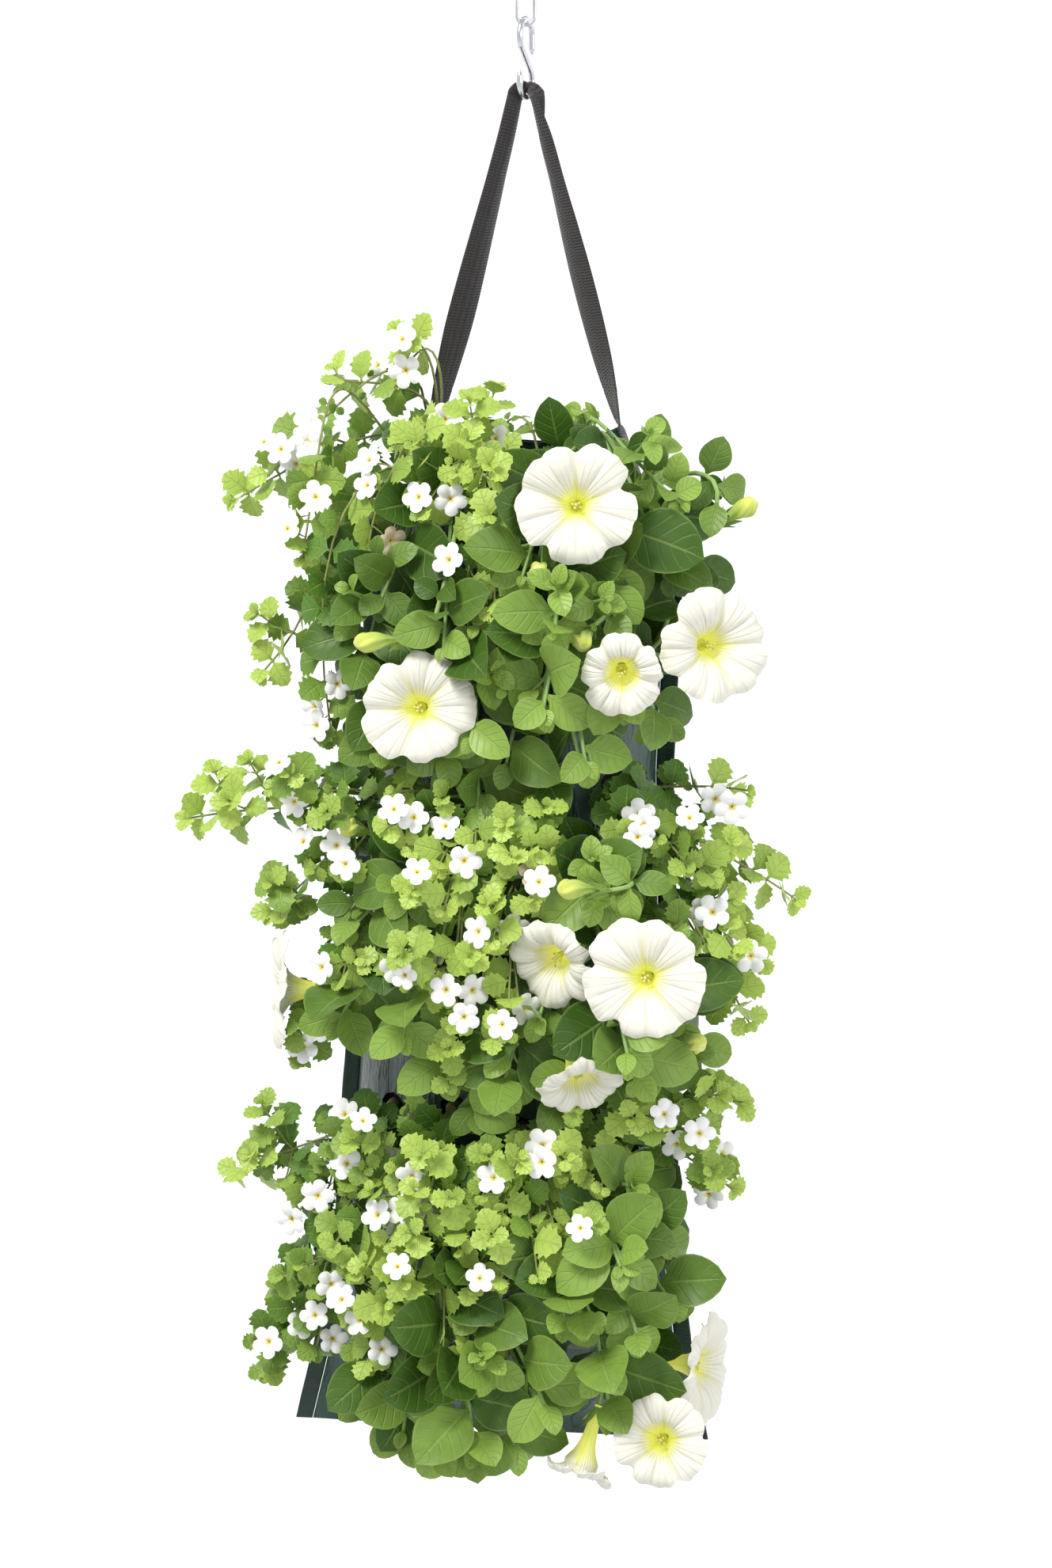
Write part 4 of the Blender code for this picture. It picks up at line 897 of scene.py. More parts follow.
def bacopa_outline(t, row):
    part = max(0.0, (t - 0.10) / 0.90)
    tooth = 1.0 if row % 2 else 0.72
    return 0.05 * (1 - part) + 0.5 * max(0.0, sin(pi * part ** 0.98)) ** 0.66 * tooth


def sepal_outline(t, row):
    return 0.30 + 0.5 * max(0.0, sin(pi * t ** 0.8)) ** 0.9 - 0.25 * t


def round_pattern(name, around, along, radius):
    """A closed shape of turning, 1 long, along Y."""
    def shape(u, v):
        turn = ROUND * u
        return Vector((sin(turn) * radius(v), v, cos(turn) * radius(v)))
    return grid_piece(name, around, along, shape)


def flower_pattern():
    """Bacopa flower, radius 1: five round lobes and a shallow throat."""
    def shape(u, v):
        turn = ROUND * u
        lobe = abs(sin(2.5 * turn))
        reach = 0.66 + 0.34 * lobe ** 0.6
        out = 0.02 + 0.98 * v * (1 - v ** 2 * (1 - reach))
        lift = -0.26 * (1 - v) ** 2 + 0.06 * sin(pi * v) * lobe - 0.08 * v ** 3 + 0.12 * lobe * v
        return Vector((cos(turn) * out, sin(turn) * out, lift))
    return grid_piece("flower_pattern", 30, 4, shape, None, thick=0.035)


PATTERN_MAKERS = {
    "petunia": lambda: blade_pattern("petunia_pattern", 4, 9, petunia_outline),
    "bacopa": lambda: blade_pattern("bacopa_pattern", 2, 10, bacopa_outline),
    "sepal": lambda: blade_pattern("sepal_pattern", 2, 6, sepal_outline),
    "stem": lambda: round_pattern("stem_pattern", 6, 12, lambda v: 1.0),
    "twig": lambda: round_pattern("twig_pattern", 5, 5, lambda v: 1.0),
    "thread": lambda: round_pattern("thread_pattern", 5, 3, lambda v: 1.0 if 0 < v < 1 else 0.6),
    "bead": lambda: round_pattern("bead_pattern", 7, 5, lambda v: max(0.04, sin(pi * v) ** 0.7)),
    "flower": flower_pattern,
}


def bent(shape, root, heading, face, length, width, droop, fold, thick, ripple=0.0):
    """A leaf's points: folded along its rib, and curling down to its tip."""
    side = heading.cross(face).normalized()
    face = side.cross(heading)
    heading, face, side = np.array(heading), np.array(face), np.array(side)
    u, t, lift = shape.T
    bend = droop if abs(droop) > 0.01 else 0.01
    ahead, drop = np.sin(bend * t) / bend, (1 - np.cos(bend * t)) / bend
    along = np.outer(ahead, heading) - np.outer(drop, face)
    up = np.outer(np.cos(bend * t), face) + np.outer(np.sin(bend * t), heading)
    rise = fold * np.abs(u) * width + lift * thick / 2
    rise += ripple * np.abs(u) * 2 * np.sin(t * 11.0 + u * 3.0)
    return np.array(root) + along * length + np.outer(u * width, side) + up * rise[:, None]


ROUGH_WIDTHS = ((0.12, 0.2), (0.4, 0.48), (0.75, 0.42), (1.0, 0.12))
ROUGH_BLADE = np.array([(u * w, t, 0.0) for t, w in ROUGH_WIDTHS for u in (-1, 0, 1)])
ROUGH_FACES = [(a, a + 1, a + 4, a + 3) for a in (0, 1, 3, 4, 6, 7)]


class Bunch:
    """Gathers bent copies of patterns into one piece."""

    def __init__(self):
        self.points, self.corners, self.starts = [], [], []
        self.maps, self.tints, self.slots = [], [], []
        self.count, self.loops = 0, 0

    def add(self, shape, points, tint, slot):
        self.points.append(points)
        self.corners.append(shape.corners + self.count)
        self.starts.append(shape.starts + self.loops)
        self.maps.append(shape.map)
        colour = np.empty((len(points), 4))
        colour[:] = (tint[0], 0.0, tint[2], 1.0)
        colour[:, 1] = shape.under
        self.tints.append(colour)
        self.slots.append(np.full(len(shape.starts), slot))
        self.count += len(points)
        self.loops += len(shape.corners)

    def blade(self, name, place, tint, slot, thick=0.0006, ripple=0.0):
        shape = pattern(name)
        self.add(shape, bent(shape.points, *place, thick, ripple), tint, slot)

    def tube(self, shape, line, start, end, tint, slot):
        """The stem pattern, laid along a line."""
        rings = sorted(set(np.round(shape.points[:, 1], 5)))
        frames, side = {}, None
        for v in rings:
            here = flow(line, v)
            along = course(line, v, 0.01)
            side = carried(side, along)
            frames[v] = (here, side, along.cross(side), start + (end - start) * v)
        moved = np.empty_like(shape.points)
        for k, (x, v, z) in enumerate(shape.points):
            here, side, other, size = frames[round(v, 5)]
            moved[k] = here + (side * x - other * z) * size
        self.add(shape, moved, tint, slot)

    def bead(self, place, way, size, long, tint, slot):
        shape = pattern("bead")
        side, other = across_of(way)
        moved = (np.array(place) + np.outer(shape.points[:, 0] * size, side)
                 + np.outer(shape.points[:, 1] * long, way)
                 - np.outer(shape.points[:, 2] * size, other))
        self.add(shape, moved, tint, slot)

    def make(self, name, finishes):
        mesh = bpy.data.meshes.new(name)
        points, corners = np.concatenate(self.points), np.concatenate(self.corners)
        starts = np.concatenate(self.starts)
        mesh.vertices.add(len(points))
        mesh.vertices.foreach_set("co", points.ravel())
        mesh.loops.add(len(corners))
        mesh.loops.foreach_set("vertex_index", corners)
        mesh.polygons.add(len(starts))
        mesh.polygons.foreach_set("loop_start", starts)
        mesh.polygons.foreach_set("material_index", np.concatenate(self.slots))
        mesh.polygons.foreach_set("use_smooth", np.ones(len(starts), bool))
        mesh.uv_layers.new(name="UVMap").data.foreach_set("uv", np.concatenate(self.maps).ravel())
        tint = mesh.color_attributes.new("tint", "FLOAT_COLOR", "POINT")
        tint.data.foreach_set("color", np.concatenate(self.tints).ravel())
        mesh.update(calc_edges=True)
        mesh.set_sharp_from_angle(angle=radians(70))
        for finish in finishes:
            mesh.materials.append(finish)
        thing = bpy.data.objects.new(name, mesh)
        bpy.context.scene.collection.objects.link(thing)
        return thing


# ------------------------------------------------------------------ room
class Room:
    """What stands already, in cells, so that nothing new grows through it."""
    CELL = 0.03

    def __init__(self):
        self.cells, self.large = {}, []

    def span(self, points):
        low, high = points.min(0), points.max(0)
        a, b = np.floor(low / self.CELL).astype(int), np.floor(high / self.CELL).astype(int)
        return low, high, [(i, j, k) for i in range(a[0], b[0] + 1) for j in range(a[1], b[1] + 1)
                           for k in range(a[2], b[2] + 1)]

    def keep(self, points, faces, owner, large=False):
        points = np.asarray(points)
        low, high, keys = self.span(points)
        item = (owner, low, high, BVHTree.FromPolygons(points.tolist(), faces))
        if large:
            self.large.append(item)
        else:
            for key in keys:
                self.cells.setdefault(key, []).append(item)

    def free(self, points, faces, owners=()):
        points = np.asarray(points)
        low, high, keys = self.span(points)
        tree, seen = None, set()
        nearby = list(self.large)
        for key in keys:
            nearby += self.cells.get(key, ())
        for item in nearby:
            if id(item) in seen or item[0] in owners:
                continue
            seen.add(id(item))
            if (low > item[2]).any() or (high < item[1]).any():
                continue
            if tree is None:
                tree = BVHTree.FromPolygons(points.tolist(), faces)
            if tree.overlap(item[3]):
                return False
        return True


room = Room()
growing = {}                    # plant -> its bunch, its stems


def keep_piece(thing, owner):
    points = [tuple(vert.co) for vert in thing.data.vertices]
    room.keep(points, [tuple(face.vertices) for face in thing.data.polygons], owner, large=True)


def rough_tube(line, radius):
    """A three-sided tube along a line, for finding room."""
    points, faces, side = [], [], None
    for k, spot in enumerate(line):
        along = (line[min(k + 1, len(line) - 1)] - line[max(k - 1, 0)]).normalized()
        side = carried(side, along)
        other = along.cross(side)
        for turn in THIRDS:
            points.append(tuple(spot + spoke(side, other, turn) * radius))
    for k in range(len(line) - 1):
        for n in range(3):
            m = (n + 1) % 3
            faces.append((3 * k + n, 3 * k + m, 3 * k + 3 + m, 3 * k + 3 + n))
    return np.array(points), faces


# ------------------------------------------------------------------ growing
def clear_straps():
    """Keeps leaves from growing in front of the strap's ends, which stay in sight."""
    for side, low in ((-1, 0.014), (1, -0.004)):
        foot = Vector((side * ease(BAG_HALF_WIDTH, BAG_TOP), 0, BAG_TOP + low))
        lean = Vector((-side * 0.022, 0, 0.085))
        ahead = Vector((0.019, -0.110, 0.015))
        for aside in (-0.007, 0.0, 0.007):
            place = foot + Vector((aside, -0.012, 0))
            corners = (place, place + lean, place + lean + ahead, place + ahead)
            room.keep([tuple(spot) for spot in corners], [(0, 1, 2, 3)], "strap view")


def neck_line(name):
    """A neck's foot, its end in the open, and the way it points."""
    place, *spot = NECKS[name]
    a, b = metres(spot)
    if place == "top":
        foot, end, way = (a, b, SOIL_TOP - CROWN_DEEP), (a, b, SOIL_TOP + NECK_TALL), (0, 0, 1)
    else:
        foot, end, way = (a, skin(a, b) + CROWN_DEEP, b), (a, skin(a, b) - NECK_OUT, b), (0, -1, 0)
    return Vector(foot), Vector(end), Vector(way)


def push_out(point, margin):
    """Moves a point in front of the bag's skin."""
    if point.z > SOIL_TOP + 0.018 or point.z < BAG_FOOT - margin:
        return point
    wide = ease(BAG_HALF_WIDTH, point.z) + SEAM_WIDE + margin
    deep = ease(BAG_HALF_DEPTH, point.z) + margin
    x = (point.x - bag_middle(point.z)) / wide
    if abs(x) >= 1:
        return point
    surface = deep * (1 - x * x) ** 0.5
    if point.y <= 0 and -point.y < surface:
        return Vector((point.x, -surface, point.z))
    if 0 < point.y < surface:
        return Vector((point.x, surface, point.z))
    return point


def shake(dice, far):
    """A small step of chance."""
    return Vector([dice.uniform(-far, far) for _ in range(3)])


def stem_line(name, tip, arrive, wobble, rise, dice):
    """A smooth line from a plant's neck to a tip, kept off the bag's skin."""
    _, end, way = neck_line(name)
    aside = tip - end - way * way.dot(tip - end)
    start = end - way * 0.003 + aside.normalized() * CROWN * 0.55
    far = (tip - start).length
    way = (way + (tip - start).normalized() * 0.8).normalized()
    if arrive is None:
        arrive = (tip - start).normalized() - Vector((0, 0, 0.012 / far))
    lift = Vector((0, 0, rise))
    first = start + way * far * 0.40 + lift + shake(dice, wobble)
    second = tip - arrive * far * 0.35 + lift + shake(dice, wobble)
    points = [bezier(start, first, second, tip, k / STEM_STEPS) for k in range(STEM_STEPS + 1)]
    return points[:1] + [push_out(point, 0.006) for point in points[1:-1]] + points[-1:]


def find_line(plant, owner, tip, arrive, size):
    """Tries ever wider lines to a tip until one is clear of what stands."""
    dice = random.Random(owner)
    top = NECKS[plant][0] == "top" and arrive is None
    for attempt in range(LINE_TRIES):
        loose = 0.0009 * attempt
        rise = 0.022 + loose / 2 if top else loose / 3
        points = stem_line(plant, tip, arrive, loose, rise, dice)
        guard = rough_tube(points, size)
        if room.free(*guard, (plant, owner)):
            break
    room.keep(*guard, plant)
    return points


class Shoot:
    """A stem's line with its length, so that leaves stand at distances from its tip."""

    def __init__(self, line, start, end):
        self.line, self.start, self.end = line, start, end
        self.steps = distances(line)
        self.long = self.steps[-1]
        self.spin = None

    def at(self, from_tip):
        """Place, direction and size of the stem at a distance from its tip."""
        part = share(self.steps, max(0.0, self.long - from_tip))
        size = self.start + (self.end - self.start) * part
        return flow(self.line, part), course(self.line, part, 0.02), size


def open_air(spot):
    """From 0 deep in the foliage, where leaves stay dark with painted shade, to 1 at its outside, where
    they are lightened as painted light.
    """
    if spot.z > SOIL_TOP:
        return min(1.0, 0.7 + (spot.z - SOIL_TOP) / 0.06)
    aside = abs(spot.x - bag_middle(spot.z)) - ease(BAG_HALF_WIDTH, spot.z)
    return min(1.0, max(0.0, (-spot.y - 0.080) / 0.045, aside / 0.05))


def grow_blade(bunch, kind, owner, shoot, from_tip, turn, size, ratio, upright, dice, age):
    """One leaf at a distance from the tip. It turns its face to the light."""
    here, along, thick = shoot.at(from_tip)
    side, other = across_of(along)
    for attempt in range(BLADE_TRIES):
        out = spoke(side, other, turn)
        sway = Vector([dice.uniform(-0.16, 0.16) * (attempt + 1) for _ in range(3)])
        heading = (along * cos(upright) + out * sin(upright) + sway).normalized()
        up = along * 0.5 - out * 0.1 + VIEW_UP * 1.1 + shake(dice, 0.35)
        up = (up - heading * up.dot(heading)).normalized()
        droop = dice.uniform(0.15, 0.9)
        fold = dice.uniform(0.10, 0.36) if kind == "petunia" else dice.uniform(0.02, 0.22)
        length = size * (1.0 - 0.05 * attempt)
        root = here + out * thick * 0.7
        place = (root, heading, up, length, length * ratio, droop, fold)
        guard = bent(ROUGH_BLADE, *place, 0.0)
        if room.free(guard, ROUGH_FACES, (owner,)):
            room.keep(guard, ROUGH_FACES, owner + " leaf")
            air = open_air(root)
            # Painted light and shade: the tint is raised out in the open and lowered deep in the
            # foliage, on top of the leaf's age.
            youth_and_light = age * 0.72 + air * 0.28 if kind == "bacopa" else age * 0.8 + air * 0.2
            tint = (youth_and_light * (0.30 + 0.70 * air), 0.0, dice.random())
            ripple = length * (0.016 if kind == "petunia" else 0.010)
            bunch.blade(kind, place, tint, 0, 0.0007, ripple)
            return True
    return False


# Leaf pairs: distance from the tip, leaf length, lean away from the stem in radians
BACOPA_PAIRS = (
    (0.0004, 0.0072, 0.60), (0.0036, 0.0132, 0.90), (0.0108, 0.0178, 1.15), (0.0210, 0.0195, 1.30),
    (0.0320, 0.0195, 1.40), (0.0450, 0.0195, 1.45), (0.0590, 0.0190, 1.45), (0.0740, 0.0185, 1.45),
    (0.0900, 0.0180, 1.45), (0.1070, 0.0175, 1.4), (0.1250, 0.0170, 1.4))
SIDE_PAIRS = (
    (0.0003, 0.0070, 0.60), (0.0034, 0.0128, 0.90), (0.0098, 0.0168, 1.15), (0.0190, 0.0180, 1.3))


def over_rim(shoot, from_tip):
    """True where a stem that ends lower down arches over the rim."""
    return shoot.at(from_tip)[0].z > SPRIG_LEVEL > shoot.line[-1].z + 0.01


def grow_pairs(bunch, owner, shoot, pairs, dice, vigour):
    """Bacopa: toothed leaves in pairs, each pair square to the one below."""
    for k, (from_tip, size, upright) in enumerate(pairs):
        if from_tip > shoot.long * 0.94:
            break
        age = max(0.0, 1.0 - from_tip / 0.055) * vigour
        if over_rim(shoot, from_tip):
            size *= 0.35
        for half in (0, 1):
            turn = shoot.spin + (k % 2) * pi / 2 + half * pi
            long = size * dice.uniform(0.88, 1.12)
            grow_blade(bunch, "bacopa", owner, shoot, from_tip, turn, long,
                       dice.uniform(0.90, 1.06), upright, dice, age)


def side_shoot(owner, parent, from_tip, turn, long, dice, size):
    """A short shoot out of a leaf's root. Gives None if there is no room."""
    here, along, _ = parent.at(from_tip)
    side, other = across_of(along)
    for attempt in range(SIDE_TRIES):
        out = spoke(side, other, turn)
        sway = Vector([dice.uniform(-0.25, 0.25) * (attempt + 1) / 2 for _ in range(3)])
        way = (out * 0.75 + along * 0.45 + VIEW_UP * 0.35 + sway).normalized()
        tip = push_out(here + way * long + VIEW_UP * long * 0.15, 0.008)
        line = [here, here + (out * 0.6 + along * 0.6) * long * 0.35,
                (here + tip) / 2 + way * long * 0.12, tip]
        line = [bezier(*line, t / 4) for t in range(5)]
        guard = rough_tube(line[1:], size)
        if room.free(*guard, (owner,)):
            room.keep(*guard, owner + " side")
            shoot = Shoot(line, size, size * 0.7)
            shoot.spin = dice.uniform(0, pi)
            return shoot
    return None


def small_flower(bunch, owner, shoot, from_tip, turn, dice, radius):
    """A bacopa flower on its stalk."""
    here, along, _ = shoot.at(from_tip)
    side, other = across_of(along)
    shape = pattern("flower")
    for _ in range(FLOWER_TRIES):
        out = spoke(side, other, turn)
        sway = Vector((dice.uniform(-0.5, 0.5), dice.uniform(-0.9, 0.0), dice.uniform(-0.3, 0.6)))
        way = (out * 0.8 + along * 0.4 + sway).normalized()
        middle = here + way * dice.uniform(0.011, 0.018)
        facing = (way * 0.8 + Vector((0.05, -0.9, 0.35))).normalized()
        a, b = across_of(facing)
        disc = [middle + spoke(a, b, k * SIXTH) * radius for k in range(6)]
        guard = np.array([tuple(p) for p in disc] + [tuple(middle - facing * 0.002)])
        faces = [(k, (k + 1) % 6, 6) for k in range(6)] + [tuple(range(6))]
        if room.free(guard, faces, (owner,)):
            room.keep(guard, faces, owner + " flower")
            spin = dice.uniform(0, SPIN)
            a, b = a * cos(spin) + b * sin(spin), b * cos(spin) - a * sin(spin)
            basis = np.array([tuple(a), tuple(b), tuple(a.cross(b))])
            if a.cross(b).dot(facing) < 0:
                basis[1] *= -1
                basis[2] *= -1
            points = np.array(middle) + (shape.points * radius) @ basis
            bunch.add(shape, points, (0.5, 0.0, dice.random()), 2)
            stalk = [here, here + way * 0.006, middle - facing * 0.006, middle - facing * 0.0022]
            bunch.tube(pattern("thread"), stalk, 0.0005, 0.0007, (0.7, 0, 0.5), 1)
            return True
    return False


def begin_plant(name):
    foot, end, way = neck_line(name)
    bunch = Bunch()
    line = [foot, foot.lerp(end, 0.5), end - way * 0.004, end]
    bunch.tube(pattern("stem"), line, CROWN, CROWN * 0.7, (0.2, 0, 0.5), 1)
    room.keep(*rough_tube([end - way * 0.012, end], CROWN), name)
    growing[name] = (bunch, [])
    return bunch


def bacopa_plant(name, finishes, sizes):
    bunch, shoots = growing[name]
    for owner, shoot, flowers, dice in shoots:
        for k in range(flowers + (2 if name == "bacopa_top_left" else 1) if flowers else 0):
            small_flower(bunch, owner, shoot, 0.011 + 0.011 * k + dice.uniform(0, 0.004),
                         dice.uniform(0, SPIN), dice, sizes.flower * dice.uniform(0.98, 1.16))
    for owner, shoot, flowers, dice in shoots:
        grow_pairs(bunch, owner, shoot, BACOPA_PAIRS, dice, 1.0)
    for owner, shoot, flowers, dice in shoots:
        for k, (from_tip, *_) in enumerate(BACOPA_PAIRS[3:], 3):
            if from_tip > shoot.long * 0.80:
                break
            if shoot.at(from_tip)[0].z > SPRIG_LEVEL:
                continue
            for half in (0, 1):
                few = 0.2 if name == "bacopa_top_left" else 1
                if dice.random() > SIDE_CHANCE * few:
                    continue
                turn = shoot.spin + (k % 2) * pi / 2 + half * pi + dice.uniform(-0.3, 0.3)
                side = side_shoot(owner, shoot, from_tip, turn, dice.uniform(0.014, 0.032), dice,
                                  0.0006)
                if side:
                    bunch.tube(pattern("twig"), side.line, 0.0007, 0.0005, (0.7, 0, 0.5), 1)
                    grow_pairs(bunch, owner + " side", side, SIDE_PAIRS, dice,
                               dice.uniform(0.55, 1.0))
                    if dice.random() < 0.10:
                        small_flower(bunch, owner + " side", side, 0.006, dice.uniform(0, SPIN), dice,
                                     sizes.flower * dice.uniform(0.9, 1.05))
    thing = bunch.make(name + "_foliage", finishes)
    return stand_in(thing, "bacopa_green", name)


SIDE_CHANCE = 0.30
SPRIG_LEVEL = -0.262            # above it the bacopas carry bare sprigs only
TUFT_LEVEL = -0.325             # above it the petunias carry small tufts
# How far from the tip each leaf stands, and its length
PETUNIA_STEPS = (0.0004, 0.0012, 0.0026, 0.0050, 0.0085, 0.0135, 0.0200, 0.0280,
                 0.0370, 0.0470, 0.0580, 0.0700, 0.0820, 0.0950, 0.1080, 0.1220)
PETUNIA_SIZES = (0.008, 0.012, 0.017, 0.023, 0.029, 0.035, 0.040, 0.043,
                 0.044, 0.043, 0.042, 0.041, 0.040, 0.038, 0.036, 0.034)
TURN = radians(137.5)


def grow_spiral(bunch, owner, shoot, dice, first, last, scale):
    """Petunia: plain oval leaves, each turned on from the one before."""
    for k in range(first, last):
        from_tip, size = PETUNIA_STEPS[k] * scale, PETUNIA_SIZES[k] * scale
        if from_tip > shoot.long * 0.95:
            break
        upright = 0.30 + 0.95 * min(1.0, k / 6)
        if over_rim(shoot, from_tip):
            size *= 0.5
        age = max(0.0, 1.0 - from_tip / 0.040)
        grow_blade(bunch, "petunia", owner, shoot, from_tip, shoot.spin + TURN * k,
                   size * dice.uniform(0.85, 1.1), dice.uniform(0.62, 0.76), upright, dice, age)


def petunia_plant(name, finishes):
    bunch, shoots = growing[name]
    for owner, shoot, kind, dice in shoots:
        if kind == "leafy":
            high = shoot.line[-1].z > TUFT_LEVEL
            grow_spiral(bunch, owner, shoot, dice, 0, len(PETUNIA_STEPS), 0.50 if high else 1.10)
    for owner, shoot, kind, dice in shoots:
        if kind == "stalk":
            scale = 0.55 if owner.startswith("bud") else 0.85
            grow_spiral(bunch, owner, shoot, dice, 6, 13, scale)
        else:
            for from_tip in (0.024, 0.043, 0.066, 0.090):
                if from_tip < shoot.long * 0.8 and dice.random() < 0.32:
                    side = side_shoot(owner, shoot, from_tip, dice.uniform(0, SPIN),
                                      dice.uniform(0.014, 0.026), dice, 0.0011)
                    if side:
                        bunch.tube(pattern("twig"), side.line, 0.0011, 0.0008, (0.8, 0, 0.5), 1)
                        grow_spiral(bunch, owner + " side", side, dice, 0, 8, 0.62)
    thing = bunch.make(name + "_foliage", finishes)
    return stand_in(thing, "petunia_green", name)


# ------------------------------------------------------------------ blooms and buds
# A bloom's profile: distance from its middle line, height over its face
LIMB = ((TUBE_END, -TUBE_LONG), (0.0032, -0.030), (0.0042, -0.020), (0.0062, -0.0125),
        (0.0098, -0.0062))


def bloom_petals(name, number, middle, facing, radius, finish, ruffle):
    """A narrow tube that opens into five joined, notched, ruffled lobes."""
    dice = random.Random(f"ruffle {number}")
    side, up = across_of(facing)
    spin = 0.3 * number
    face = ((0.45, -0.0012), (0.66, 0.0016), (0.86, 0.0012), (1.0, -0.0016))
    profile = tuple(Vector((*row, 0)) for row in LIMB + tuple((radius * a, b) for a, b in face))
    waves = [(n, dice.uniform(0.3, 1.0), dice.uniform(0, SPIN)) for n in (3, 5, 8, 13)]
    lobes = [dice.uniform(-0.0048, 0.0048) for _ in range(5)]
    deeps = [dice.uniform(0.08, 0.26) for _ in range(5)]
    wides = [dice.uniform(-0.11, 0.03) for _ in range(5)]

    def shape(u, v):
        turn = ROUND * u
        row = flow(profile, v)
        out, height = row.x, row.y
        open_part = max(0.0, (v - 0.5) / 0.5)
        off = (u * 5 + 0.5) % 1.0 - 0.5                  # 0 at a notch, half at a lobe's middle
        notch = exp(-(off / 0.12) ** 2)
        middle_fold = exp(-((abs(off) - 0.5) / 0.05) ** 2)
        near = int(u * 5) % 5
        swell = (wides[near] * sin(pi * ((u * 5) % 1.0)) + 0.010 * sin(17 * turn + spin)
                 + 0.006 * sin(29 * turn - spin))
        cut = deeps[int(u * 5 + 0.5) % 5] * notch + 0.020 * middle_fold - swell
        out *= 1.0 - cut * open_part ** 2.2
        lobe = lobes[near]
        lift = lobe * sin(pi * ((u * 5) % 1.0)) * open_part ** 1.5
        for n, size, phase in waves:
            power = 2.0 if n > 5 else 1.4
            lift += ruffle * size * 0.38 * sin(n * turn + phase) * open_part ** power
        if open_part > 0:
            fold = 0.0017 * middle_fold + 0.0026 * notch
            lift -= fold * sin(pi * min(1, open_part * 1.05)) ** 0.5
            lift += 0.00035 * sin(35 * turn) * open_part
        angle = turn + spin
        return middle + facing * (height + lift) + spoke(side, up, angle) * out
    thing = grid_piece(name, 100, 18, shape, finish, thick=0.0004)
    return thing


def bloom_parts(name, middle, facing, number, green, dust):
    """Calyx behind the tube, and stamens in the throat."""
    dice = random.Random(f"calyx {number}")
    side, up = across_of(facing)
    bunch = Bunch()
    base = middle - facing * (TUBE_LONG + 0.0005)
    for k in range(5):
        turn = FIFTH * k + 0.3
        out = spoke(side, up, turn)
        heading = (facing * 0.92 + out * 0.34).normalized()
        face = (out - heading * out.dot(heading)).normalized()
        spot = base + out * 0.0017
        bunch.blade("sepal", (spot, heading, face, dice.uniform(0.013, 0.017), 0.0036, -0.25, -0.2),
                    (0.6, 0, dice.random()), 0, 0.0007)
    for k in range(5):
        turn = FIFTH * k + dice.uniform(-0.2, 0.2)
        out = spoke(side, up, turn)
        spot = middle - facing * (0.0075 + 0.0012 * (k % 2)) + out * (0.0016 + 0.0008 * (k % 2))
        way = (facing + out * 0.3).normalized()
        bunch.bead(spot, way, 0.00085, 0.0022, (0.5, 0, dice.random()), 1)
        line = [middle - facing * back + out * aside
                for back, aside in ((0.022, 0.0006), (0.016, 0.001), (0.012, 0.0014))]
        bunch.tube(pattern("thread"), line + [spot], 0.00035, 0.0003, (0.9, 0, 0.5), 1)
    bunch.bead(middle - facing * 0.023, facing, 0.0036, 0.004, (0.8, 0, 0.5), 1)
    bunch.bead(middle - facing * 0.0072, facing, 0.0011, 0.0016, (0.8, 0, 0.5), 1)
    return bunch.make(name + "_calyx", [green, dust])


def bud_piece(name, number, root, heading, long, finish, green):
    """A furled bud: five pleats wound round to a point, in its calyx."""
    side, up = across_of(heading)
    dice = random.Random(f"bud {number}")
    stations = tuple(Vector((*row, 0)) for row in (
        (0.0014, 0), (0.0019, 0.22), (0.0026, 0.42), (0.0044, 0.60),
        (0.0052, 0.74), (0.0050, 0.86), (0.0030, 0.96), (0.0006, 1.0)))

    def shape(u, v):
        row = flow(stations, v)
        turn = ROUND * u
        wound = radians(150) * max(0.0, v - 0.3)
        pleat = 1 + 0.17 * cos(5 * turn) * sin(pi * min(1.0, v * 1.05)) ** 0.5
        angle = turn + wound
        return root + heading * long * row.y + spoke(side, up, angle) * row.x * pleat
    skin_piece = grid_piece(name + "_skin", 40, 26, shape, finish)
    bunch = Bunch()
    for k in range(5):
        turn = FIFTH * k
        out = spoke(side, up, turn)
        way = (heading * 0.93 + out * 0.30).normalized()
        face = (out - way * out.dot(way)).normalized()
        spot = root + out * 0.0012
        bunch.blade("sepal", (spot, way, face, long * dice.uniform(0.45, 0.6), 0.0032, -0.3, -0.2),
                    (0.7, 0, dice.random()), 0, 0.0007)
    calyx = bunch.make(name + "_calyx", [green])
    return join([skin_piece, calyx], name)


# ------------------------------------------------------------------ compost
def compost_top(finish):
    """The compost's uneven surface: a heaped disc that covers the plain fill."""
    def shape(u, v):
        turn = ROUND * u
        z = SOIL_TOP
        spot = bag_skin(turn, z, WALL + 0.0022, 0.0)
        centre = Vector((bag_middle(z), 0, z))
        spot = centre + (spot - centre) * max(v, 0.001)
        lump = noise.noise(spot * 90) * 0.0035 + noise.noise(spot * 260) * 0.0016
        return spot + Vector((0, 0, 0.0028 + lump * (1 - v ** 6) - 0.003 * v ** 8))
    return grid_piece("compost_surface", 72, 30, shape, finish)


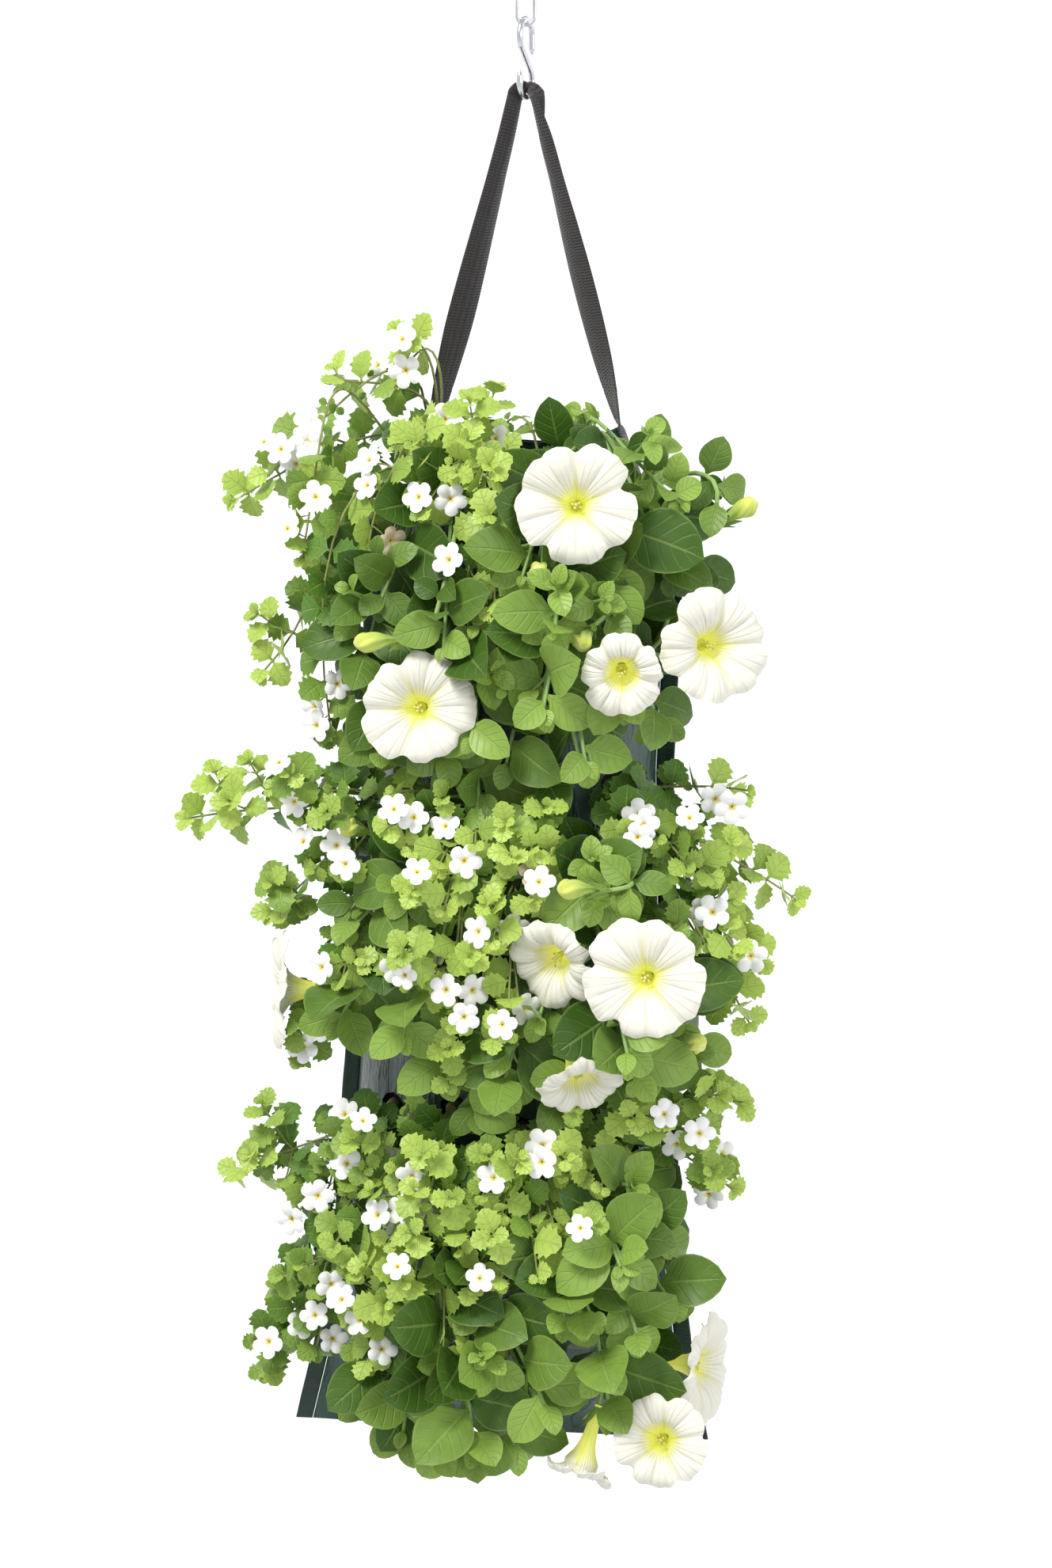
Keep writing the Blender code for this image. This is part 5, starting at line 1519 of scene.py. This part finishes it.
def compost_crumbs(finish):
    dice = random.Random("crumbs")
    bunch = Bunch()
    for _ in range(300):
        turn, out = dice.uniform(0, SPIN), dice.random() ** 0.5 * 0.96
        spot = bag_skin(turn, SOIL_TOP, 0.004, 0.0)
        centre = Vector((bag_middle(SOIL_TOP), 0, SOIL_TOP))
        spot = centre + (spot - centre) * out + Vector((0, 0, 0.0022))
        way = Vector((dice.uniform(-1, 1), dice.uniform(-1, 1), dice.uniform(0.0, 0.8))).normalized()
        size = dice.uniform(0.0007, 0.0024)
        bunch.bead(spot, way, size, size * dice.uniform(1.2, 3.0), (0.5, 0, 0.5), 0)
    return bunch.make("compost_crumbs", [finish])


# ------------------------------------------------------------------ settings
class PouchSizes(bpy.types.PropertyGroup):
    strap_width: FloatProperty(name="Strap width", description="Width of the webbing", default=0.020,
                               min=0.010, max=0.030, unit="LENGTH")
    crumple: FloatProperty(name="Crumple", description="How deeply the bag's cloth is creased",
                           default=1.0, min=0.0, max=2.0, subtype="FACTOR")
    flower: FloatProperty(name="Small flower radius", description="Radius of a bacopa flower",
                          default=FLOWER, min=0.006, max=0.012, unit="LENGTH")
    ruffle: FloatProperty(name="Petal ruffle", description="How far the petunia lobes wave",
                          default=0.0036, min=0.0, max=0.004, unit="LENGTH")
    floor_drop: FloatProperty(name="Floor drop", description="How far the floor lies under the bag",
                              default=0.55, min=0.1, max=2.0, unit="LENGTH")


def colour(name, text, value):
    return FloatVectorProperty(name=name, description=text, default=value, size=3, subtype="COLOR",
                               min=0.0, max=1.0)


class PouchColours(bpy.types.PropertyGroup):
    bag: colour("Bag", "Dark green of the woven cloth", (0.009, 0.038, 0.024))
    strap: colour("Strap", "Charcoal of the webbing", (0.0165, 0.0135, 0.0130))
    compost: colour("Compost", "Dark brown of the compost", (0.020, 0.012, 0.007))
    petal: colour("Petal", "Cream white of the petunias", (0.82, 0.81, 0.70))
    throat: colour("Throat", "Yellow-green in a petunia's throat", (0.76, 0.755, 0.14))
    bud: colour("Bud", "Yellow-green of a furled bud", (0.66, 0.72, 0.14))
    # The old leaf colours are also the painted shade of leaves deep in the foliage.
    petunia_young: colour("Young petunia leaf", "Leaves near a petunia's tip", (0.235, 0.365, 0.062))
    petunia_old: colour("Old petunia leaf", "Leaves low on a petunia's stem", (0.044, 0.108, 0.010))
    bacopa_young: colour("Young bacopa leaf", "Leaves near a bacopa's tip", (0.385, 0.525, 0.096))
    bacopa_old: colour("Old bacopa leaf", "Leaves low on a bacopa's stem", (0.072, 0.178, 0.017))


finishes = {}


def leaf_finishes(colours):
    """Leaf and stem finishes of both plants, made once."""
    if "petunia" in finishes:
        return finishes
    for plant, pale, veins, gloss in (("petunia", (0.34, 0.46, 0.14), 6.0, 0.38),
                                      ("bacopa", (0.50, 0.66, 0.14), 4.0, 0.40)):
        young, old = (tuple(getattr(colours, f"{plant}_{age}")) for age in ("young", "old"))
        finishes[plant] = leaf_green(f"{plant}_leaf_finish", young, old, pale, veins, gloss)
    for plant, young, old in (("petunia", (0.30, 0.46, 0.13), (0.14, 0.27, 0.06)),
                              ("bacopa", (0.30, 0.36, 0.10), (0.13, 0.10, 0.04))):
        finishes[f"{plant}_stem"] = stem_green(f"{plant}_stem_finish", young, old)
    return finishes


# ------------------------------------------------------------------ operators
class POUCH_OT_hardware(bpy.types.Operator):
    """Round zinc wire of the chain link and the S-hook"""
    bl_idname = "pouch.hardware"
    bl_label = "Link and hook"

    def execute(self, context):
        finish = zinc()
        link = wire("chain_link_wire", link_line, LINK_WIRE, finish, True)
        points = hook_points()
        hook = wire("s_hook_wire", lambda v: flow(points, v), HOOK_WIRE, finish, False)
        stand_in(link, "zinc_steel", "chain_link")
        stand_in(hook, "zinc_steel", "s_hook")
        return {"FINISHED"}


class POUCH_OT_strap(bpy.types.Operator):
    """Ribbed webbing strap from one corner of the bag, over the hook, to the other"""
    bl_idname = "pouch.strap"
    bl_label = "Strap"

    def execute(self, context):
        black = webbing(context.scene.pouch_colours)
        strap = strap_piece(context.scene.pouch_sizes.strap_width, black)
        stand_in(strap, "strap_webbing", "strap")
        return {"FINISHED"}


class POUCH_OT_bag(bpy.types.Operator):
    """Woven bag with its rim hem, bound side seams and planting slits"""
    bl_idname = "pouch.bag"
    bl_label = "Bag"

    def execute(self, context):
        colours, sizes = context.scene.pouch_colours, context.scene.pouch_sizes
        cloth, edge = woven_cloth(colours), tape(colours)
        bag = bag_piece(cloth, sizes.crumple)
        cut_slits(bag)
        stand_in(bag, "woven_green", "bag")
        stand_in(hem_piece(cloth), "woven_green")
        for side, name in ((-1, "side_seam_left"), (1, "side_seam_right")):
            stand_in(seam_piece(side, edge), "seam_tape", name)
        return {"FINISHED"}


class POUCH_OT_compost(bpy.types.Operator):
    """Crumbly compost, which the upper plants stand in"""
    bl_idname = "pouch.compost"
    bl_label = "Compost"

    def execute(self, context):
        finish = compost(context.scene.pouch_colours)
        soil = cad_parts["soil"]
        soil.data.materials.clear()
        soil.data.materials.append(finish)
        stand_in(compost_top(finish), "compost")
        stand_in(compost_crumbs(finish), "compost")
        return {"FINISHED"}


class POUCH_OT_blooms(bpy.types.Operator):
    """Petunia blooms and furled buds"""
    bl_idname = "pouch.blooms"
    bl_label = "Blooms and buds"

    def execute(self, context):
        colours, sizes = context.scene.pouch_colours, context.scene.pouch_sizes
        white, dust, bud_finish = petal(colours), pollen(), bud_skin(colours)
        green = leaf_finishes(colours)["petunia"]
        for number, (plant, middle, facing, radius) in enumerate(BLOOMS, 1):
            name = f"petunia_bloom_{number:02d}"
            middle, facing = Vector(metres(middle)), Vector(facing).normalized()
            petals = bloom_petals(name, number, middle, facing, radius / 1000, white, sizes.ruffle)
            parts = bloom_parts(name, middle, facing, number, green, dust)
            bloom = join([petals, parts], name + "_dressed")
            keep_piece(bloom, f"bloom {number}")
            stand_in(bloom, "petal_white", name)
        for number, (plant, root, heading, long) in enumerate(BUDS, 1):
            name = f"petunia_bud_{number}"
            piece = bud_piece(name + "_dressed", number, Vector(metres(root)),
                              Vector(heading).normalized(), long / 1000, bud_finish, green)
            keep_piece(piece, f"bud {number}")
            stand_in(piece, "bud_green", name)
        return {"FINISHED"}


class POUCH_OT_stems(bpy.types.Operator):
    """Necks and stems of all the plants, each clear of what stands"""
    bl_idname = "pouch.stems"
    bl_label = "Stems"

    def execute(self, context):
        for node in ("bag", "strap", "side_seam_left", "side_seam_right", "soil"):
            keep_piece(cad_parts[node], node)
        for name in NECKS:
            begin_plant(name)
        for number, (plant, middle, facing, _) in enumerate(BLOOMS, 1):
            facing = Vector(facing).normalized()
            base = Vector(metres(middle)) - facing * (TUBE_LONG + GAP)
            self.grow(plant, f"stalk {number}", base, facing, PETUNIA_STEM, (1.1, 0.95), 0.8,
                      "stalk")
        for number, (plant, root, heading, _) in enumerate(BUDS, 1):
            heading = Vector(heading).normalized()
            base = Vector(metres(root)) - heading * GAP
            self.grow(plant, f"bud stalk {number}", base, heading, PETUNIA_STEM, (1.1, 0.95), 0.8,
                      "stalk")
        for table, size in ((BACOPA_TIPS, BACOPA_STEM), (PETUNIA_TIPS, PETUNIA_STEM)):
            for plant, tips in table.items():
                for number, tip in enumerate(tips):
                    self.grow(plant, f"{plant} {number}", Vector(metres(tip[:3])), None, size,
                              (1.15, 0.75), 0.5, tip[3] if len(tip) > 3 else "leafy")
        return {"FINISHED"}

    def grow(self, plant, owner, tip, arrive, size, ends, age, kind):
        """One stem from its plant's neck to its tip, with its own run of chance."""
        line = find_line(plant, owner, tip, arrive, size)
        dice = random.Random("leaves " + owner)
        shoot = Shoot(line, size * ends[0], size * ends[1])
        shoot.spin = dice.uniform(0, pi)
        bunch, shoots = growing[plant]
        bunch.tube(pattern("stem"), line, shoot.start, shoot.end, (age, 0, 0.5), 1)
        shoots.append((owner, shoot, kind, dice))


class POUCH_OT_petunias(bpy.types.Operator):
    """Leaves of the petunia plants"""
    bl_idname = "pouch.petunias"
    bl_label = "Petunias"

    def execute(self, context):
        made = leaf_finishes(context.scene.pouch_colours)
        clear_straps()
        for name in PETUNIA_TIPS:
            petunia_plant(name, [made["petunia"], made["petunia_stem"]])
        return {"FINISHED"}


class POUCH_OT_bacopas(bpy.types.Operator):
    """Leaves, side shoots and small flowers of the bacopa plants"""
    bl_idname = "pouch.bacopas"
    bl_label = "Bacopas"

    def execute(self, context):
        made = leaf_finishes(context.scene.pouch_colours)
        white = small_petal()
        for name in BACOPA_TIPS:
            bacopa_plant(name, [made["bacopa"], made["bacopa_stem"], white],
                         context.scene.pouch_sizes)
        return {"FINISHED"}


class POUCH_OT_studio(bpy.types.Operator):
    """Pale floor, soft light and the camera"""
    bl_idname = "pouch.studio"
    bl_label = "Studio"

    def execute(self, context):
        scene = context.scene
        f = Finish("floor_finish", Roughness=0.9, Specular_IOR_Level=0.1, Emission_Strength=1.0)
        cloud = f.noise(f.here(), 0.6, 1.0)
        ahead = f.node("SeparateXYZ", {}, {"Vector": f.here()}, "Y").between(-1.5, 2.0)
        pale = f.paint(Base_Color=f.mix(cloud, (0.40, 0.40, 0.41), (0.43, 0.43, 0.44)),
                       Emission_Color=f.mix(ahead, (0.30, 0.30, 0.31), (0.74, 0.74, 0.76)))
        low, bend, flat, tall = BAG_FOOT - scene.pouch_sizes.floor_drop, 1.8, 3.0, 2.4

        def bowl(u, v):
            turn, run = ROUND * u - pi / 2, v * 3
            angle = min(max(run - 1, 0), 1) * pi / 2
            out = flat * min(max(run, 0.01), 1) + bend * sin(angle)
            rise = bend * (1 - cos(angle)) + tall * max(run - 2, 0)
            return Vector((cos(turn) * out, sin(turn) * out, low + rise))
        floor = open_sheet("floor", 72, 36, bowl, pale)

        world = bpy.data.worlds.new("studio")
        scene.world = world
        world.use_nodes = True
        sky = world.node_tree.nodes["Background"]
        sky.inputs["Color"].default_value = (0.955, 0.955, 0.97, 1.0)
        sky.inputs["Strength"].default_value = 0.62
        for name, spot, size, power, tone in (
                ("key", (-1.0, -1.8, 1.9), 1.1, 88.0, (1.0, 0.985, 0.955)),
                ("side", (1.9, -1.3, 0.3), 1.0, 16.0, (0.97, 0.985, 1.0))):
            lamp = bpy.data.lights.new(name, "AREA")
            lamp.energy, lamp.size, lamp.color = power, size, tone
            thing = bpy.data.objects.new(name, lamp)
            scene.collection.objects.link(thing)
            thing.location = spot
            aim = Vector((0, 0, -0.45)) - Vector(spot)
            thing.rotation_euler = aim.to_track_quat("-Z", "Y").to_euler()
        scene.view_settings.view_transform = "Standard"

        lens = bpy.data.cameras.new("camera")
        lens.sensor_width, lens.lens = 36.0, 85.07
        eye = bpy.data.objects.new("camera", lens)
        scene.collection.objects.link(eye)
        turn, rise, far = radians(10), radians(8), 2.2
        back = Vector((sin(turn) * cos(rise), -cos(turn) * cos(rise), sin(rise)))
        eye.location = Vector((0, 0, -0.4694)) + back * far
        eye.rotation_euler = (-back).to_track_quat("-Z", "Y").to_euler()
        scene.camera = eye
        return {"FINISHED"}


class POUCH_PT_panel(bpy.types.Panel):
    """Lists the pouch's sizes, colours and pieces"""
    bl_idname = "POUCH_PT_panel"
    bl_label = "Planted Hanging Pouch"
    bl_space_type = "VIEW_3D"
    bl_region_type = "UI"
    bl_category = "Pouch"

    def draw(self, context):
        for group in (context.scene.pouch_sizes, context.scene.pouch_colours):
            box = self.layout.box()
            for key in group.__annotations__:
                box.prop(group, key)
        for step in STEPS:
            self.layout.operator(step.bl_idname)


STEPS = (POUCH_OT_studio, POUCH_OT_hardware, POUCH_OT_strap, POUCH_OT_bag, POUCH_OT_compost,
         POUCH_OT_blooms, POUCH_OT_stems, POUCH_OT_petunias, POUCH_OT_bacopas)
CLASSES = (PouchSizes, PouchColours) + STEPS + (POUCH_PT_panel,)


def register():
    for kind in CLASSES:
        bpy.utils.register_class(kind)
    bpy.types.Scene.pouch_sizes = PointerProperty(type=PouchSizes)
    bpy.types.Scene.pouch_colours = PointerProperty(type=PouchColours)


def unregister():
    del bpy.types.Scene.pouch_sizes, bpy.types.Scene.pouch_colours
    for kind in reversed(CLASSES):
        bpy.utils.unregister_class(kind)


def main():
    register()
    for step in STEPS:
        group, name = step.bl_idname.split(".")
        getattr(getattr(bpy.ops, group), name)()
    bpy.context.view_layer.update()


if __name__ == "__main__":
    main()
